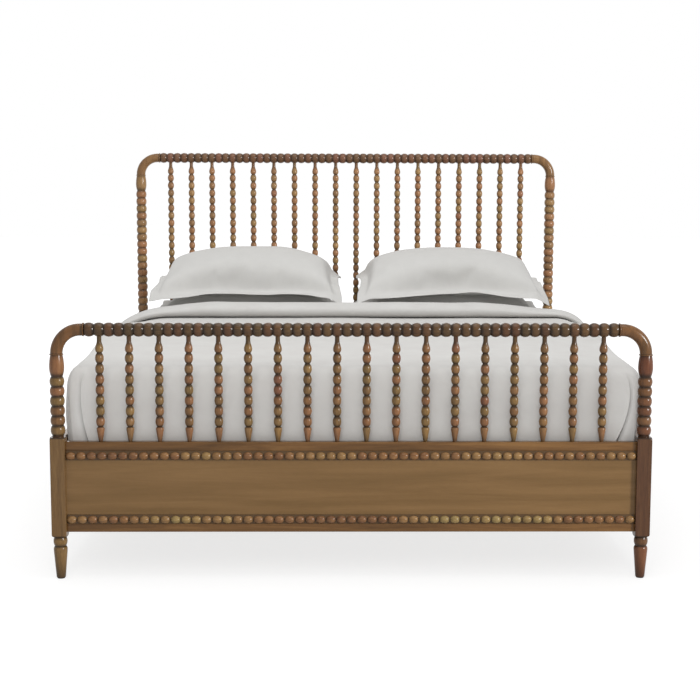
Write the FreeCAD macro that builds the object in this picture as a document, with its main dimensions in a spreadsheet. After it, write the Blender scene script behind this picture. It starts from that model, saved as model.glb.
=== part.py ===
import FreeCAD, Part
import Sketcher
import math
import os
import re

# A king-size spool-turned bed in wood, made up with a mattress, a comforter and four pillows.
# The frame: X across the bed, Y from the footboard to the headboard, Z up from the floor.

doc = FreeCAD.newDocument("spool_bed")
dims = doc.addObject("Spreadsheet::Sheet", "dims")

# Driving dimensions in millimetres, with counts at the end of each group.
DRIVING = (
    ("mattress_width", 1930, "mattress, side to side"),
    ("mattress_length", 2032, "mattress, head to foot"),
    ("mattress_thickness", 245, "mattress, top to bottom"),
    ("mattress_edge", 45, "rounding of the mattress's edges"),
    ("mattress_side_gap", 15, "from the mattress to each side rail"),
    ("mattress_end_gap", 12, "from the mattress to the posts at each end"),
    ("deck_height", 445, "floor to the top of the slats"),
    ("side_rail_thickness", 25, "side rail board"),
    ("side_rail_setback", 5, "side rail behind the posts' outer faces"),
    ("side_rail_bottom", 162, "floor to the side rails"),
    ("side_rail_top", 470, "floor to the side rails' top edges"),
    ("fit_clearance", 0.15, "room all round in a joint"),
    ("post_block", 50, "square block of each post"),
    ("block_turning", 16, "slope of the turned corners at the block's ends"),
    ("block_end_radius", 22.75, "round end of a block, inside its turned corners"),
    ("glide_height", 4, "glide under each post"),
    ("glide_radius", 13, "glide under each post"),
    ("glide_nail_radius", 2, "nail of a glide"),
    ("glide_nail_length", 18, "nail of a glide"),
    ("leg_length", 112, "floor to the neck above the tapered leg"),
    ("leg_foot_radius", 15.5, "tapered leg at the floor"),
    ("leg_shoulder_radius", 23.5, "tapered leg at its widest"),
    ("leg_shoulder_height", 12, "rounded shoulder over the taper"),
    ("leg_neck_radius", 19, "neck between leg and ring"),
    ("leg_ring_height", 33, "turned ring under the block"),
    ("leg_ring_radius", 23.5, "turned ring under the block"),
    ("post_neck", 6, "plain neck over the block"),
    ("post_bead_radius", 24.5, "beads of a post"),
    ("post_groove_radius", 19.75, "grooves between the beads of a post"),
    ("vase_length", 72, "vase at the top of a post"),
    ("vase_belly", 31, "foot of the vase to its widest ring"),
    ("vase_radius", 25, "vase at its widest"),
    ("vase_top_radius", 20.5, "vase under the elbow"),
    ("foot_height", 871.5, "floor to the top of the footboard"),
    ("foot_block_top", 486, "floor to the top of a footboard block"),
    ("foot_bead_count", 6, "beads of a footboard post"),
    ("head_height", 1482, "floor to the top of the headboard"),
    ("head_block_top", 611, "floor to the top of a headboard block"),
    ("head_bead_count", 20, "beads of a headboard post"),
    ("elbow_bend_radius", 80.5, "centre line of an elbow"),
    ("elbow_tube_radius", 20.75, "round section of an elbow"),
    ("elbow_reach", 93.2, "post axis to the end of the top rail"),
    ("collar_radius", 23.5, "ring at each end of an elbow"),
    ("collar_width", 5, "ring at each end of an elbow"),
    ("dowel_radius", 6, "dowel in each end of an elbow"),
    ("dowel_length", 44, "dowel in each end of an elbow"),
    ("rail_bead_radius", 24, "beads of a top rail"),
    ("rail_groove_radius", 18.5, "grooves of a top rail"),
    ("rail_bead_count", 54, "beads of a top rail"),
    ("spindle_count", 18, "spindles of a board"),
    ("spindle_tenon_radius", 5, "round tenons of a spindle"),
    ("spindle_tenon_length", 16, "round tenons of a spindle"),
    ("spindle_cone_length", 50, "tapered foot of a spindle"),
    ("spindle_cone_radius", 13, "tapered foot at its top"),
    ("spindle_tip_radius", 6.5, "tapered foot at its tip"),
    ("spindle_bead_radius", 13.75, "beads of a spindle"),
    ("spindle_groove_radius", 9, "grooves of a spindle"),
    ("spindle_drop_length", 54, "drop at the top of a spindle"),
    ("spindle_drop_belly", 13, "foot of the drop to its widest ring"),
    ("spindle_drop_radius", 13.25, "drop at its widest"),
    ("spindle_neck_radius", 8, "drop at its neck"),
    ("spindle_neck_length", 18, "straight neck of the drop"),
    ("foot_spindle_beads", 7, "beads of a footboard spindle"),
    ("head_spindle_beads", 21, "beads of a headboard spindle"),
    ("board_bottom", 162, "floor to the lower rails of the boards"),
    ("foot_rail_top", 470, "floor to the footboard's upper rail, top edge"),
    ("head_rail_top", 577, "floor to the headboard's upper rail, top edge"),
    ("upper_rail_height", 30, "upper rail of a board"),
    ("lower_rail_height", 28, "lower rail of a board"),
    ("board_rail_thickness", 28, "rails of a board, front to back"),
    ("tenon_length", 25, "rail tenon in a post"),
    ("tenon_thickness", 12, "rail tenon in a post"),
    ("tenon_shoulder", 4, "shoulder over and under a rail tenon"),
    ("panel_thickness", 12, "board panel"),
    ("panel_setback", 3, "panel behind the front of its rails"),
    ("panel_groove", 8, "groove that holds the panel's edge"),
    ("joint_room", 0.5, "room at the bottom of a groove or a hole"),
    ("moulding_height", 32, "backing strip of a bead moulding"),
    ("moulding_strip", 3, "backing strip, front to back"),
    ("moulding_bead_radius", 13.5, "half-barrel beads of a moulding"),
    ("moulding_bead_end", 10, "radius at the ends of a moulding's beads"),
    ("moulding_bead_length", 28, "half-barrel beads of a moulding"),
    ("moulding_margin", 1, "strip showing under the beads"),
    ("moulding_bead_count", 55, "beads of a moulding"),
    ("ledger_width", 30, "ledger on a side rail"),
    ("ledger_height", 40, "ledger on a side rail"),
    ("ledger_end_gap", 30, "ledger end to the posts"),
    ("slat_thickness", 18, "slat"),
    ("slat_width", 70, "slat, along the bed"),
    ("slat_end_gap", 2, "slat end to the side rail"),
    ("slat_end_margin", 30, "first slat to the mattress end"),
    ("slat_count", 13, "slats"),
    ("cleat_thickness", 30, "cleat behind each panel"),
    ("cleat_height", 120, "cleat behind each panel"),
    ("cleat_top", 426, "floor to the cleat's top edge"),
    ("beam_width", 60, "centre beam"),
    ("beam_height", 80, "centre beam"),
    ("beam_end_gap", 4, "centre beam to the cleats"),
    ("hanger_wall", 3, "steel beam hanger"),
    ("hanger_length", 45, "steel beam hanger, along the beam"),
    ("support_leg_width", 45, "leg under the centre beam"),
    ("support_leg_bottom", 26, "floor to the wood of a support leg"),
    ("support_first", 750, "footboard to the first support leg"),
    ("support_step", 450, "from one support leg to the next"),
    ("support_bolt_radius", 4, "bolt between beam and leg"),
    ("support_bolt_length", 70, "bolt between beam and leg"),
    ("leveller_disc_radius", 20, "levelling foot"),
    ("leveller_disc_height", 8, "levelling foot"),
    ("leveller_stem_radius", 5, "levelling foot's stem"),
    ("leveller_stem_length", 60, "levelling foot's stem"),
    ("leveller_travel", 14, "room over the stem"),
    ("running_clearance", 0.06, "stem in its nut"),
    ("nut_radius", 8, "insert nut"),
    ("nut_height", 14, "insert nut"),
    ("nut_flange_radius", 13, "insert nut's flange"),
    ("nut_flange_height", 3, "insert nut's flange"),
    ("plate_thickness", 3, "plates of a rail fastener"),
    ("plate_width", 16, "plates of a rail fastener"),
    ("plate_height", 130, "plates of a rail fastener"),
    ("plate_bottom", 240, "floor to the plates"),
    ("hook_thickness", 4, "hook of a rail fastener"),
    ("hook_height", 18, "hook of a rail fastener, at the plate"),
    ("hook_drop", 8, "tooth of a hook below its neck"),
    ("hook_tooth", 4, "tooth of a hook, front to back"),
    ("hook_offset", 32, "plate end to the nearest hook"),
    ("hook_slack", 1, "room round a hook"),
    ("screw_radius", 2, "wood screws"),
    ("screw_head_radius", 4, "wood screws, countersunk head"),
    ("screw_head_height", 2.2, "wood screws, countersunk head"),
    ("plate_screw_length", 22, "screws of the fastener plates"),
    ("plate_screw_margin", 10, "plate end to its screw"),
    ("ledger_screw_length", 46, "screws of the ledgers"),
    ("ledger_screw_margin", 100, "ledger end to its first screw"),
    ("ledger_screw_height", 12, "ledger's lower edge to its screws"),
    ("ledger_screw_count", 7, "screws of a ledger"),
    ("slat_screw_length", 40, "screws of the slats"),
    ("cover_side", 14, "comforter outside the mattress, at the sides"),
    ("cover_end", 10, "comforter outside the mattress, at the ends"),
    ("cover_foot_height", 255, "slats to the comforter's top at the foot"),
    ("cover_height", 303, "slats to the comforter's top at the head"),
    ("cover_rise", 1320, "foot to where the comforter is level"),
    ("cover_corner", 68, "rounding of the comforter's edges"),
    ("cover_hem", 3, "slats to the comforter's lower edge"),
    ("soft_gap", 0.3, "room between soft pieces"),
    ("fold_depth", 135, "turned-back fold, along the bed"),
    ("fold_height", 72, "turned-back fold, at its roll"),
    ("fold_back_height", 40, "turned-back fold, behind the roll"),
    ("fold_crown_radius", 200, "top of the fold"),
    ("fold_front", 1410, "foot of the comforter to the fold's roll"),
    ("pillow_width", 896, "pillow, side to side"),
    ("pillow_gap", 68, "between the two stacks of pillows"),
    ("pillow_edge", 8, "flat flange at a pillow's rim"),
    ("pillow_rim", 3, "swell of a pillow at its two ends"),
    ("pillow_draw", 16, "how far a pillow's long sides draw in"),
    ("pillow_head_gap", 2, "pillows to the line of the headboard's top rail"),
    ("lower_pillow_depth", 490, "lower pillow, along the bed"),
    ("lower_pillow_crown", 102, "lower pillow, rim to crown"),
    ("upper_pillow_depth", 574, "upper pillow, along the bed"),
    ("upper_pillow_crown", 190, "upper pillow, rim to crown"),
)

# What follows from them.
DERIVED = (
    ("rail_inner_x", "mattress_width / 2 + mattress_side_gap"),
    ("rail_outer_x", "rail_inner_x + side_rail_thickness"),
    ("rail_middle_x", "rail_inner_x + side_rail_thickness / 2"),
    ("post_x", "rail_outer_x + side_rail_setback - post_block / 2"),
    ("post_y", "mattress_length / 2 + mattress_end_gap + post_block / 2"),
    ("post_inner_x", "post_x - post_block / 2"),
    ("post_inner_y", "post_y - post_block / 2"),
    ("block_bottom", "leg_length + leg_ring_height"),
    ("top_rail_half", "post_x - elbow_reach"),
    ("rail_bead_pitch", "2 * top_rail_half / rail_bead_count"),
    ("spindle_pitch", "2 * top_rail_half / spindle_count"),
    ("foot_rail_axis", "foot_height - rail_bead_radius"),
    ("foot_post_top", "foot_rail_axis - elbow_bend_radius - collar_width"),
    ("foot_vase_bottom", "foot_post_top - vase_length"),
    ("foot_bead_pitch", "(foot_vase_bottom - foot_block_top - post_neck) / foot_bead_count"),
    ("foot_spindle_span", "foot_rail_axis - rail_bead_radius - foot_rail_top"),
    ("head_rail_axis", "head_height - rail_bead_radius"),
    ("head_post_top", "head_rail_axis - elbow_bend_radius - collar_width"),
    ("head_vase_bottom", "head_post_top - vase_length"),
    ("head_bead_pitch", "(head_vase_bottom - head_block_top - post_neck) / head_bead_count"),
    ("head_spindle_span", "head_rail_axis - rail_bead_radius - head_rail_top"),
    ("lower_rail_top", "board_bottom + lower_rail_height"),
    ("hook_reach", "plate_thickness + hook_slack + hook_tooth"),
    ("panel_front", "panel_setback - board_rail_thickness / 2"),
    ("panel_back", "panel_front + panel_thickness"),
    ("moulding_pitch", "2 * post_inner_x / moulding_bead_count"),
    ("slat_bottom", "deck_height - slat_thickness"),
    ("slat_half", "rail_inner_x - slat_end_gap"),
    ("slat_step", "(mattress_length - 2 * slat_end_margin - slat_width) / (slat_count - 1)"),
    ("ledger_inner_x", "rail_inner_x - ledger_width"),
    ("ledger_half", "post_inner_y - ledger_end_gap"),
    ("ledger_screw_step", "2 * (ledger_half - ledger_screw_margin) / (ledger_screw_count - 1)"),
    ("beam_bottom", "slat_bottom - beam_height"),
    ("foot_cleat_face", "panel_back + cleat_thickness - post_y"),
    ("head_cleat_face", "post_y + panel_front - cleat_thickness"),
    ("bore_depth", "leveller_disc_height + leveller_stem_length + leveller_travel - support_leg_bottom"),
    ("nut_bottom", "support_leg_bottom - nut_flange_height"),
    ("cover_half_width", "mattress_width / 2 + cover_side"),
    ("cover_half_length", "mattress_length / 2 + cover_end"),
    ("cover_top", "deck_height + cover_height"),
    ("pillow_back", "post_y - rail_bead_radius - pillow_head_gap"),
    ("lower_pillow_bottom", "cover_top + soft_gap"),
    ("upper_pillow_bottom", "lower_pillow_bottom + pillow_edge + lower_pillow_crown + soft_gap"),
)

ROWS = [(name, str(size), note) for name, size, note in DRIVING]
ROWS += [(name, "=" + text, "worked out") for name, text in DERIVED]
for row, (name, content, note) in enumerate(ROWS, start=1):
    dims.set(f"A{row}", note)
    dims.set(f"B{row}", content)
    dims.setAlias(f"B{row}", name)
doc.recompute()
NAMES = {name for name, content, note in ROWS}


def formula(text):
    """An expression on the sheet's names, as any other object of the document reads it."""
    return re.sub(r"[a-z_]+", lambda word: "dims." + word[0] if word[0] in NAMES else word[0], text)


def value(text):
    """What an expression on the sheet's names comes to now."""
    return float(dims.evalExpression(text))


def bind(piece, name, text):
    piece.setExpression(name, formula(text))


def place(piece, x, y, z):
    """Bind a piece's place to expressions."""
    for name, text in zip("xyz", (x, y, z)):
        bind(piece, "Placement.Base." + name, text)
    return piece


# Plain solids and how they are joined

ALONG_X = FreeCAD.Vector(1, 0, 0)
ALONG_Y = FreeCAD.Vector(0, 1, 0)
ALONG_Z = FreeCAD.Vector(0, 0, 1)


def block(name, x, y, z, grow="0"):
    """A board between two expressions along each axis, grown on every face for a cutter."""
    piece = doc.addObject("Part::Box", name)
    for side, (low, high) in zip(("Length", "Width", "Height"), (x, y, z)):
        bind(piece, side, f"({high}) - ({low}) + 2 * {grow}")
    return place(piece, *(f"{low} - {grow}" for low, high in (x, y, z)))


def mirror(sign, low, high):
    """A span on the positive or the negative side of the bed."""
    return (low, high) if sign > 0 else (f"-({high})", f"-({low})")


def rod(name, axis, x, y, z, radius, length):
    """A round rod that starts at a point and runs along an axis."""
    piece = doc.addObject("Part::Cylinder", name)
    bind(piece, "Radius", radius)
    bind(piece, "Height", length)
    piece.Placement = FreeCAD.Placement(FreeCAD.Vector(), FreeCAD.Rotation(ALONG_Z, axis))
    return place(piece, x, y, z)


def fuse(name, pieces):
    joined = doc.addObject("Part::MultiFuse", name)
    joined.Shapes = pieces
    return joined


def group(name, pieces):
    together = doc.addObject("Part::Compound", name)
    together.Links = pieces
    return together


def cut(name, base, cutters):
    piece = doc.addObject("Part::Cut", name)
    piece.Base = base
    piece.Tool = cutters[0] if len(cutters) == 1 else group(name + "_cutters", cutters)
    return piece


# Sketched and turned solids

def new_body(name):
    return doc.addObject("PartDesign::Body", name)


def datum(body, role):
    """One of a body's own origin planes or axes."""
    return next(feature for feature in body.Origin.OriginFeatures if feature.Role == role)


def sketch_on(body, name, plane, lift="0"):
    """An empty sketch on a body's plane, lifted along that plane's normal."""
    sketch = body.newObject("Sketcher::SketchObject", name)
    sketch.AttachmentSupport = [(datum(body, plane), "")]
    sketch.MapMode = "FlatFace"
    bind(sketch, "AttachmentOffset.Base.z", lift)
    return sketch


def pin_down(sketch, side, spot, x, y):
    """Hold a sketch point at the distances x and y from the sketch's origin."""
    for text, kind, axis in ((x, "DistanceX", -2), (y, "DistanceY", -1)):
        if text == "0":
            sketch.addConstraint(Sketcher.Constraint("PointOnObject", side, spot, axis))
        else:
            held = sketch.addConstraint(Sketcher.Constraint(kind, -1, 1, side, spot, value(text)))
            bind(sketch, f"Constraints[{held}]", text)


def arc_between(start, end, radius):
    """The arc under a half circle that runs anticlockwise from start to end."""
    chord = end - start
    rise = math.sqrt(max(radius ** 2 - chord.Length ** 2 / 4, 0))
    left = FreeCAD.Vector(-chord.y, chord.x, 0).normalize()
    centre = (start + end) / 2 + left * rise
    angles = [math.atan2(point.y - centre.y, point.x - centre.x) for point in (start, end)]
    return Part.ArcOfCircle(Part.Circle(centre, ALONG_Z, radius), *angles)


def outline(sketch, corners):
    """Close a profile, anticlockwise, through corners (x, y) or (x, y, radius).

    With a radius, the side that arrives at that corner is an outward arc."""
    points = [FreeCAD.Vector(value(corner[0]), value(corner[1]), 0) for corner in corners]
    sides = []
    for index, corner in enumerate(corners):
        start, end = points[index - 1], points[index]
        if len(corner) == 3:
            side = sketch.addGeometry(arc_between(start, end, value(corner[2])))
            held = sketch.addConstraint(Sketcher.Constraint("Radius", side, value(corner[2])))
            bind(sketch, f"Constraints[{held}]", corner[2])
        else:
            side = sketch.addGeometry(Part.LineSegment(start, end))
        sides.append(side)
    for index, side in enumerate(sides):
        sketch.addConstraint(Sketcher.Constraint("Coincident", sides[index - 1], 2, side, 1))
        pin_down(sketch, side, 2, corners[index][0], corners[index][1])


def ring(sketch, x, y, radius):
    """A circle in a sketch."""
    centre = FreeCAD.Vector(value(x), value(y), 0)
    side = sketch.addGeometry(Part.Circle(centre, ALONG_Z, value(radius)))
    pin_down(sketch, side, 3, x, y)
    held = sketch.addConstraint(Sketcher.Constraint("Radius", side, value(radius)))
    bind(sketch, f"Constraints[{held}]", radius)


def revolve(body, name, corners, axis="V_Axis", kind="PartDesign::Revolution", angle=360):
    """Turn a profile on the body's XZ plane about one of the sketch's axes."""
    sketch = sketch_on(body, name + "_profile", "XZ_Plane")
    outline(sketch, corners)
    turned = body.newObject(kind, name)
    turned.Profile = sketch
    turned.ReferenceAxis = (sketch, [axis])
    turned.Angle = angle
    body.Tip = turned
    return turned


def pad(body, name, sketch, length, reverse=False):
    """Push a sketch out by a length."""
    solid = body.newObject("PartDesign::Pad", name)
    solid.Profile = sketch
    bind(solid, "Length", length)
    solid.Reversed = reverse
    body.Tip = solid
    return solid


def repeat(body, name, feature, axis, step, count):
    """Copies of a feature, or of the whole body, in a row along an axis."""
    if feature is None:
        doc.recompute()
    row = body.newObject("PartDesign::LinearPattern", name)
    if feature is None:
        body.AllowCompound = True
        row.TransformMode = "Whole shape"
    else:
        row.Originals = [feature]
    row.Direction = (datum(body, axis), [""])
    bind(row, "Length", f"({step}) * ({count} - 1)")
    bind(row, "Occurrences", count)
    body.Tip = row
    return row


def bulge(half_length, rise):
    """Radius of the arc over a chord of twice half_length that rises by rise."""
    return f"(({half_length})^2 + ({rise})^2) / (2 * ({rise}))"


BOARDS = {"foot": "-post_y", "head": "post_y"}
SIDES = {"left": -1, "right": 1}
FACE = {-1: "-", 1: ""}
nodes = {}


# Screws: countersunk, in rows

def screw_row(name, axis, start, length, grow="0", step=None, count="1"):
    """Screws in a row along the bed, the first with its head at start, all driven along an axis."""
    body = new_body(name)
    revolve(body, name + "_screw", (
        ("0", "0"),
        (f"screw_radius + {grow}", "0"),
        (f"screw_radius + {grow}", f"{length} - screw_head_height"),
        (f"screw_head_radius + {grow}", length),
        ("0", length),
    ))
    body.Placement = FreeCAD.Placement(FreeCAD.Vector(), FreeCAD.Rotation(ALONG_Z, -axis))
    if step:
        repeat(body, name + "_row", None, "Y_Axis", step, count)
    end = (f"{place_at} + ({length}) * {round(part)}" for place_at, part in zip(start, axis))
    return place(body, *end)


# Posts: a tapered leg, a ring, a square block, a string of beads and a vase, turned from one length

def turned_post(name, end, x, y):
    body = new_body(name)
    shoulder = "leg_length - leg_shoulder_height"
    revolve(body, name + "_leg", (
        ("0", "glide_height"),
        ("leg_foot_radius", "glide_height"),
        ("leg_shoulder_radius", shoulder),
        ("leg_neck_radius", "leg_length",
         bulge("leg_shoulder_height", "leg_shoulder_radius - leg_neck_radius")),
        ("leg_neck_radius", "block_bottom",
         bulge("leg_ring_height / 2", "leg_ring_radius - leg_neck_radius")),
        ("0", "block_bottom"),
    ))
    square = sketch_on(body, name + "_square", "XY_Plane", "block_bottom")
    half = "post_block / 2"
    outline(square, ((f"-{half}", f"-{half}"), (half, f"-{half}"), (half, half), (f"-{half}", half)))
    pad(body, name + "_block", square, f"{end}_block_top - block_bottom")
    for spot, level, way in (("low", "block_bottom", "+"), ("high", f"{end}_block_top", "-")):
        inward = f"{level} {way} block_turning"
        slope = [("block_end_radius", level), ("post_block", level), ("post_block", inward)]
        if way == "-":
            slope = [slope[0], slope[2], slope[1]]
        revolve(body, f"{name}_{spot}_corners", slope, kind="PartDesign::Groove")
    revolve(body, name + "_neck", (
        ("0", f"{end}_block_top"),
        ("post_groove_radius", f"{end}_block_top"),
        ("post_groove_radius", f"{end}_block_top + post_neck"),
        ("0", f"{end}_block_top + post_neck"),
    ))
    first = f"{end}_block_top + post_neck"
    bead = revolve(body, name + "_bead", (
        ("0", first),
        ("post_groove_radius", first),
        ("post_groove_radius", f"{first} + {end}_bead_pitch",
         bulge(f"{end}_bead_pitch / 2", "post_bead_radius - post_groove_radius")),
        ("0", f"{first} + {end}_bead_pitch"),
    ))
    repeat(body, name + "_beads", bead, "Z_Axis", f"{end}_bead_pitch", f"{end}_bead_count")
    foot = f"{end}_vase_bottom"
    revolve(body, name + "_vase", (
        ("0", foot),
        ("post_groove_radius", foot),
        ("vase_radius", f"{foot} + vase_belly", bulge("vase_belly", "vase_radius - post_groove_radius")),
        ("vase_top_radius", f"{end}_post_top",
         bulge("vase_length - vase_belly", "vase_radius - vase_top_radius")),
        ("0", f"{end}_post_top"),
    ))
    return place(body, x, y, "0")


# The plates let into a post and into the end of a side rail, with two hooks that drop into slots

def hook_levels():
    """The lower edge of each hook's neck."""
    low = "plate_bottom + hook_offset"
    high = "plate_bottom + plate_height - hook_offset - hook_height"
    return low, high


def depth_span(end, near, far):
    """A span along Y, counted from the joint between post and side rail into the post."""
    return mirror(-1 if end == "foot" else 1, f"post_inner_y + {near}", f"post_inner_y + {far}")


PLATE_Z = ("plate_bottom", "plate_bottom + plate_height")


def plate_x(side):
    return mirror(side, "rail_middle_x - plate_width / 2", "rail_middle_x + plate_width / 2")


def hook_x(side, room):
    return mirror(side, f"rail_middle_x - hook_thickness / 2 - {room}",
                  f"rail_middle_x + hook_thickness / 2 + {room}")


def receiver_slots(name, side, depth):
    """What the hooks need in a plate or a post: room to enter and to drop."""
    return [block(f"{name}_slot_{index}", hook_x(side, "hook_slack"), depth,
                  (f"{level} - hook_drop - hook_slack", f"{level} + hook_height + hook_drop + hook_slack"))
            for index, level in enumerate(hook_levels())]


def plate_screw_spots():
    return "plate_bottom + plate_screw_margin", "plate_bottom + plate_height - plate_screw_margin"


def plate_screws(name, end, side, into_post, grow="0"):
    """The two screws of one plate, which run into the post or into the rail."""
    way = (-1 if end == "foot" else 1) * (1 if into_post else -1)
    sign = FACE[-1 if end == "foot" else 1]
    face = f"{sign}post_inner_y"
    axis = ALONG_Y * way
    return [screw_row(f"{name}_{index}", axis, (f"{FACE[side]}rail_middle_x", face, level),
                      "plate_screw_length", grow)
            for index, level in enumerate(plate_screw_spots())]


hook_plates, receiver_plates, fastener_screws = [], [], []
for end in BOARDS:
    for side_name, side in SIDES.items():
        tag = f"{end}_{side_name}"
        let_in = depth_span(end, "0", "plate_thickness")
        receiver = block(f"receiver_{tag}", plate_x(side), let_in, PLATE_Z)
        slots = receiver_slots(f"receiver_{tag}", side, let_in)
        holes = plate_screws(f"receiver_{tag}_hole", end, side, True, "fit_clearance")
        receiver_plates.append(cut(f"receiver_plate_{tag}", receiver, slots + holes))
        hooks = [block(f"hook_{tag}_plate", plate_x(side), depth_span(end, "-plate_thickness", "0"), PLATE_Z)]
        for index, level in enumerate(hook_levels()):
            top = f"{level} + hook_height"
            neck_depth = depth_span(end, "0", "hook_reach")
            tooth_depth = depth_span(end, "hook_reach - hook_tooth", "hook_reach")
            hooks.append(block(f"hook_{tag}_neck_{index}", hook_x(side, "0"), neck_depth, (level, top)))
            hooks.append(block(f"hook_{tag}_tooth_{index}", hook_x(side, "0"), tooth_depth,
                               (f"{level} - hook_drop", top)))
        holes = plate_screws(f"hook_{tag}_hole", end, side, False, "fit_clearance")
        hook_plates.append(cut(f"hook_plate_{tag}", fuse(f"hook_{tag}_blank", hooks), holes))
        fastener_screws += plate_screws(f"receiver_{tag}_screw", end, side, True)
        fastener_screws += plate_screws(f"hook_{tag}_screw", end, side, False)
nodes["rail_hook_plates"] = group("rail_hook_plates", hook_plates)
nodes["post_receiver_plates"] = group("post_receiver_plates", receiver_plates)
nodes["fastener_screws"] = group("fastener_screws", fastener_screws)


# Boards: a framed panel under a row of spindles, between two posts joined by elbows to a beaded top rail

def tenon_span(bottom, top):
    return f"{bottom} + tenon_shoulder", f"{top} - tenon_shoulder"


def panel_depth(middle):
    return f"{middle} + panel_front", f"{middle} + panel_back"


def middle_span(middle, width):
    return f"{middle} - {width} / 2", f"{middle} + {width} / 2"


def dowel_rod(name, axis, x, y, z, radius_room="0", end_room="0"):
    """A dowel whose middle lies at a joint, or its hole with room at the sides and ends."""
    half = f"(dowel_length / 2 + {end_room})"
    start = [f"{spot} - {half} * {round(part)}" for spot, part in zip((x, y, z), axis)]
    return rod(name, axis, *start, f"dowel_radius + {radius_room}", f"2 * {half}")


def spindle_holes(name, middle, bottom):
    """A row of round holes for spindle tenons, with room at both ends, as one cutter."""
    body = new_body(name)
    sketch = sketch_on(body, name + "_circle", "XY_Plane")
    ring(sketch, "0", "0", "spindle_tenon_radius + fit_clearance")
    pad(body, name + "_hole", sketch, "spindle_tenon_length + 2 * joint_room")
    repeat(body, name + "_row", None, "X_Axis", "spindle_pitch", "spindle_count")
    return place(body, "spindle_pitch / 2 - top_rail_half", middle, bottom)


def spindle_row(name, end, middle):
    """Spindles with a tapered foot, a string of beads and a drop, on round tenons."""
    body = new_body(name)
    seat = "spindle_tenon_length"
    waist = f"({seat} + spindle_cone_length)"
    pitch = f"(({end}_spindle_span - spindle_cone_length - spindle_drop_length) / {end}_spindle_beads)"
    drop = f"({seat} + {end}_spindle_span - spindle_drop_length)"
    top = f"({seat} + {end}_spindle_span)"
    revolve(body, name + "_foot", (
        ("0", "0"),
        ("spindle_tenon_radius", "0"),
        ("spindle_tenon_radius", seat),
        ("spindle_tip_radius", seat),
        ("spindle_cone_radius", waist),
        ("0", waist),
    ))
    bead = revolve(body, name + "_bead", (
        ("0", waist),
        ("spindle_groove_radius", waist),
        ("spindle_groove_radius", f"{waist} + {pitch}",
         bulge(f"{pitch} / 2", "spindle_bead_radius - spindle_groove_radius")),
        ("0", f"{waist} + {pitch}"),
    ))
    repeat(body, name + "_beads", bead, "Z_Axis", pitch, f"{end}_spindle_beads")
    revolve(body, name + "_drop", (
        ("0", drop),
        ("spindle_groove_radius", drop),
        ("spindle_drop_radius", f"{drop} + spindle_drop_belly",
         bulge("spindle_drop_belly", "spindle_drop_radius - spindle_groove_radius")),
        ("spindle_neck_radius", f"{top} - spindle_neck_length",
         bulge("spindle_drop_length - spindle_drop_belly - spindle_neck_length",
               "spindle_drop_radius - spindle_neck_radius")),
        ("spindle_neck_radius", top),
        ("spindle_tenon_radius", top),
        ("spindle_tenon_radius", f"{top} + spindle_tenon_length"),
        ("0", f"{top} + spindle_tenon_length"),
    ))
    repeat(body, name + "_row", None, "X_Axis", "spindle_pitch", "spindle_count")
    return place(body, "spindle_pitch / 2 - top_rail_half", middle,
                 f"{end}_rail_top - spindle_tenon_length")


def beaded_rail(name, middle, level):
    """A round rail turned into a string of beads."""
    body = new_body(name)
    bead = revolve(body, name + "_bead", (
        ("0", "0"),
        ("rail_bead_pitch", "0"),
        ("rail_bead_pitch", "rail_groove_radius"),
        ("0", "rail_groove_radius", bulge("rail_bead_pitch / 2", "rail_bead_radius - rail_groove_radius")),
    ), axis="H_Axis")
    repeat(body, name + "_beads", bead, "X_Axis", "rail_bead_pitch", "rail_bead_count")
    return place(body, "-top_rail_half", middle, level)


def elbow(name, side, middle, level):
    """A quarter bend of round section, with a ring at the post's end and one at the rail's end."""
    body = new_body(name)
    section = sketch_on(body, name + "_section", "XY_Plane")
    ring(section, "elbow_bend_radius", "0", "elbow_tube_radius")
    bend = body.newObject("PartDesign::Revolution", name + "_bend")
    bend.Profile = section
    bend.ReferenceAxis = (section, ["V_Axis"])
    bend.Angle = 90
    bend.Reversed = True
    body.Tip = bend
    low_ring = sketch_on(body, name + "_low_ring", "XY_Plane")
    ring(low_ring, "elbow_bend_radius", "0", "collar_radius")
    pad(body, name + "_low_collar", low_ring, "collar_width", reverse=True)
    stub = sketch_on(body, name + "_stub_ring", "YZ_Plane")
    ring(stub, "0", "elbow_bend_radius", "elbow_tube_radius")
    pad(body, name + "_stub", stub, "elbow_reach - elbow_bend_radius", reverse=True)
    rail_ring = sketch_on(body, name + "_rail_ring", "YZ_Plane",
                          "collar_width + elbow_bend_radius - elbow_reach")
    ring(rail_ring, "0", "elbow_bend_radius", "collar_radius")
    pad(body, name + "_rail_collar", rail_ring, "collar_width", reverse=True)
    half_turn = FreeCAD.Rotation(ALONG_Z, 0 if side > 0 else 180)
    body.Placement = FreeCAD.Placement(FreeCAD.Vector(), half_turn)
    return place(body, f"{FACE[side]}(post_x - elbow_bend_radius)", middle, level)


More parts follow.
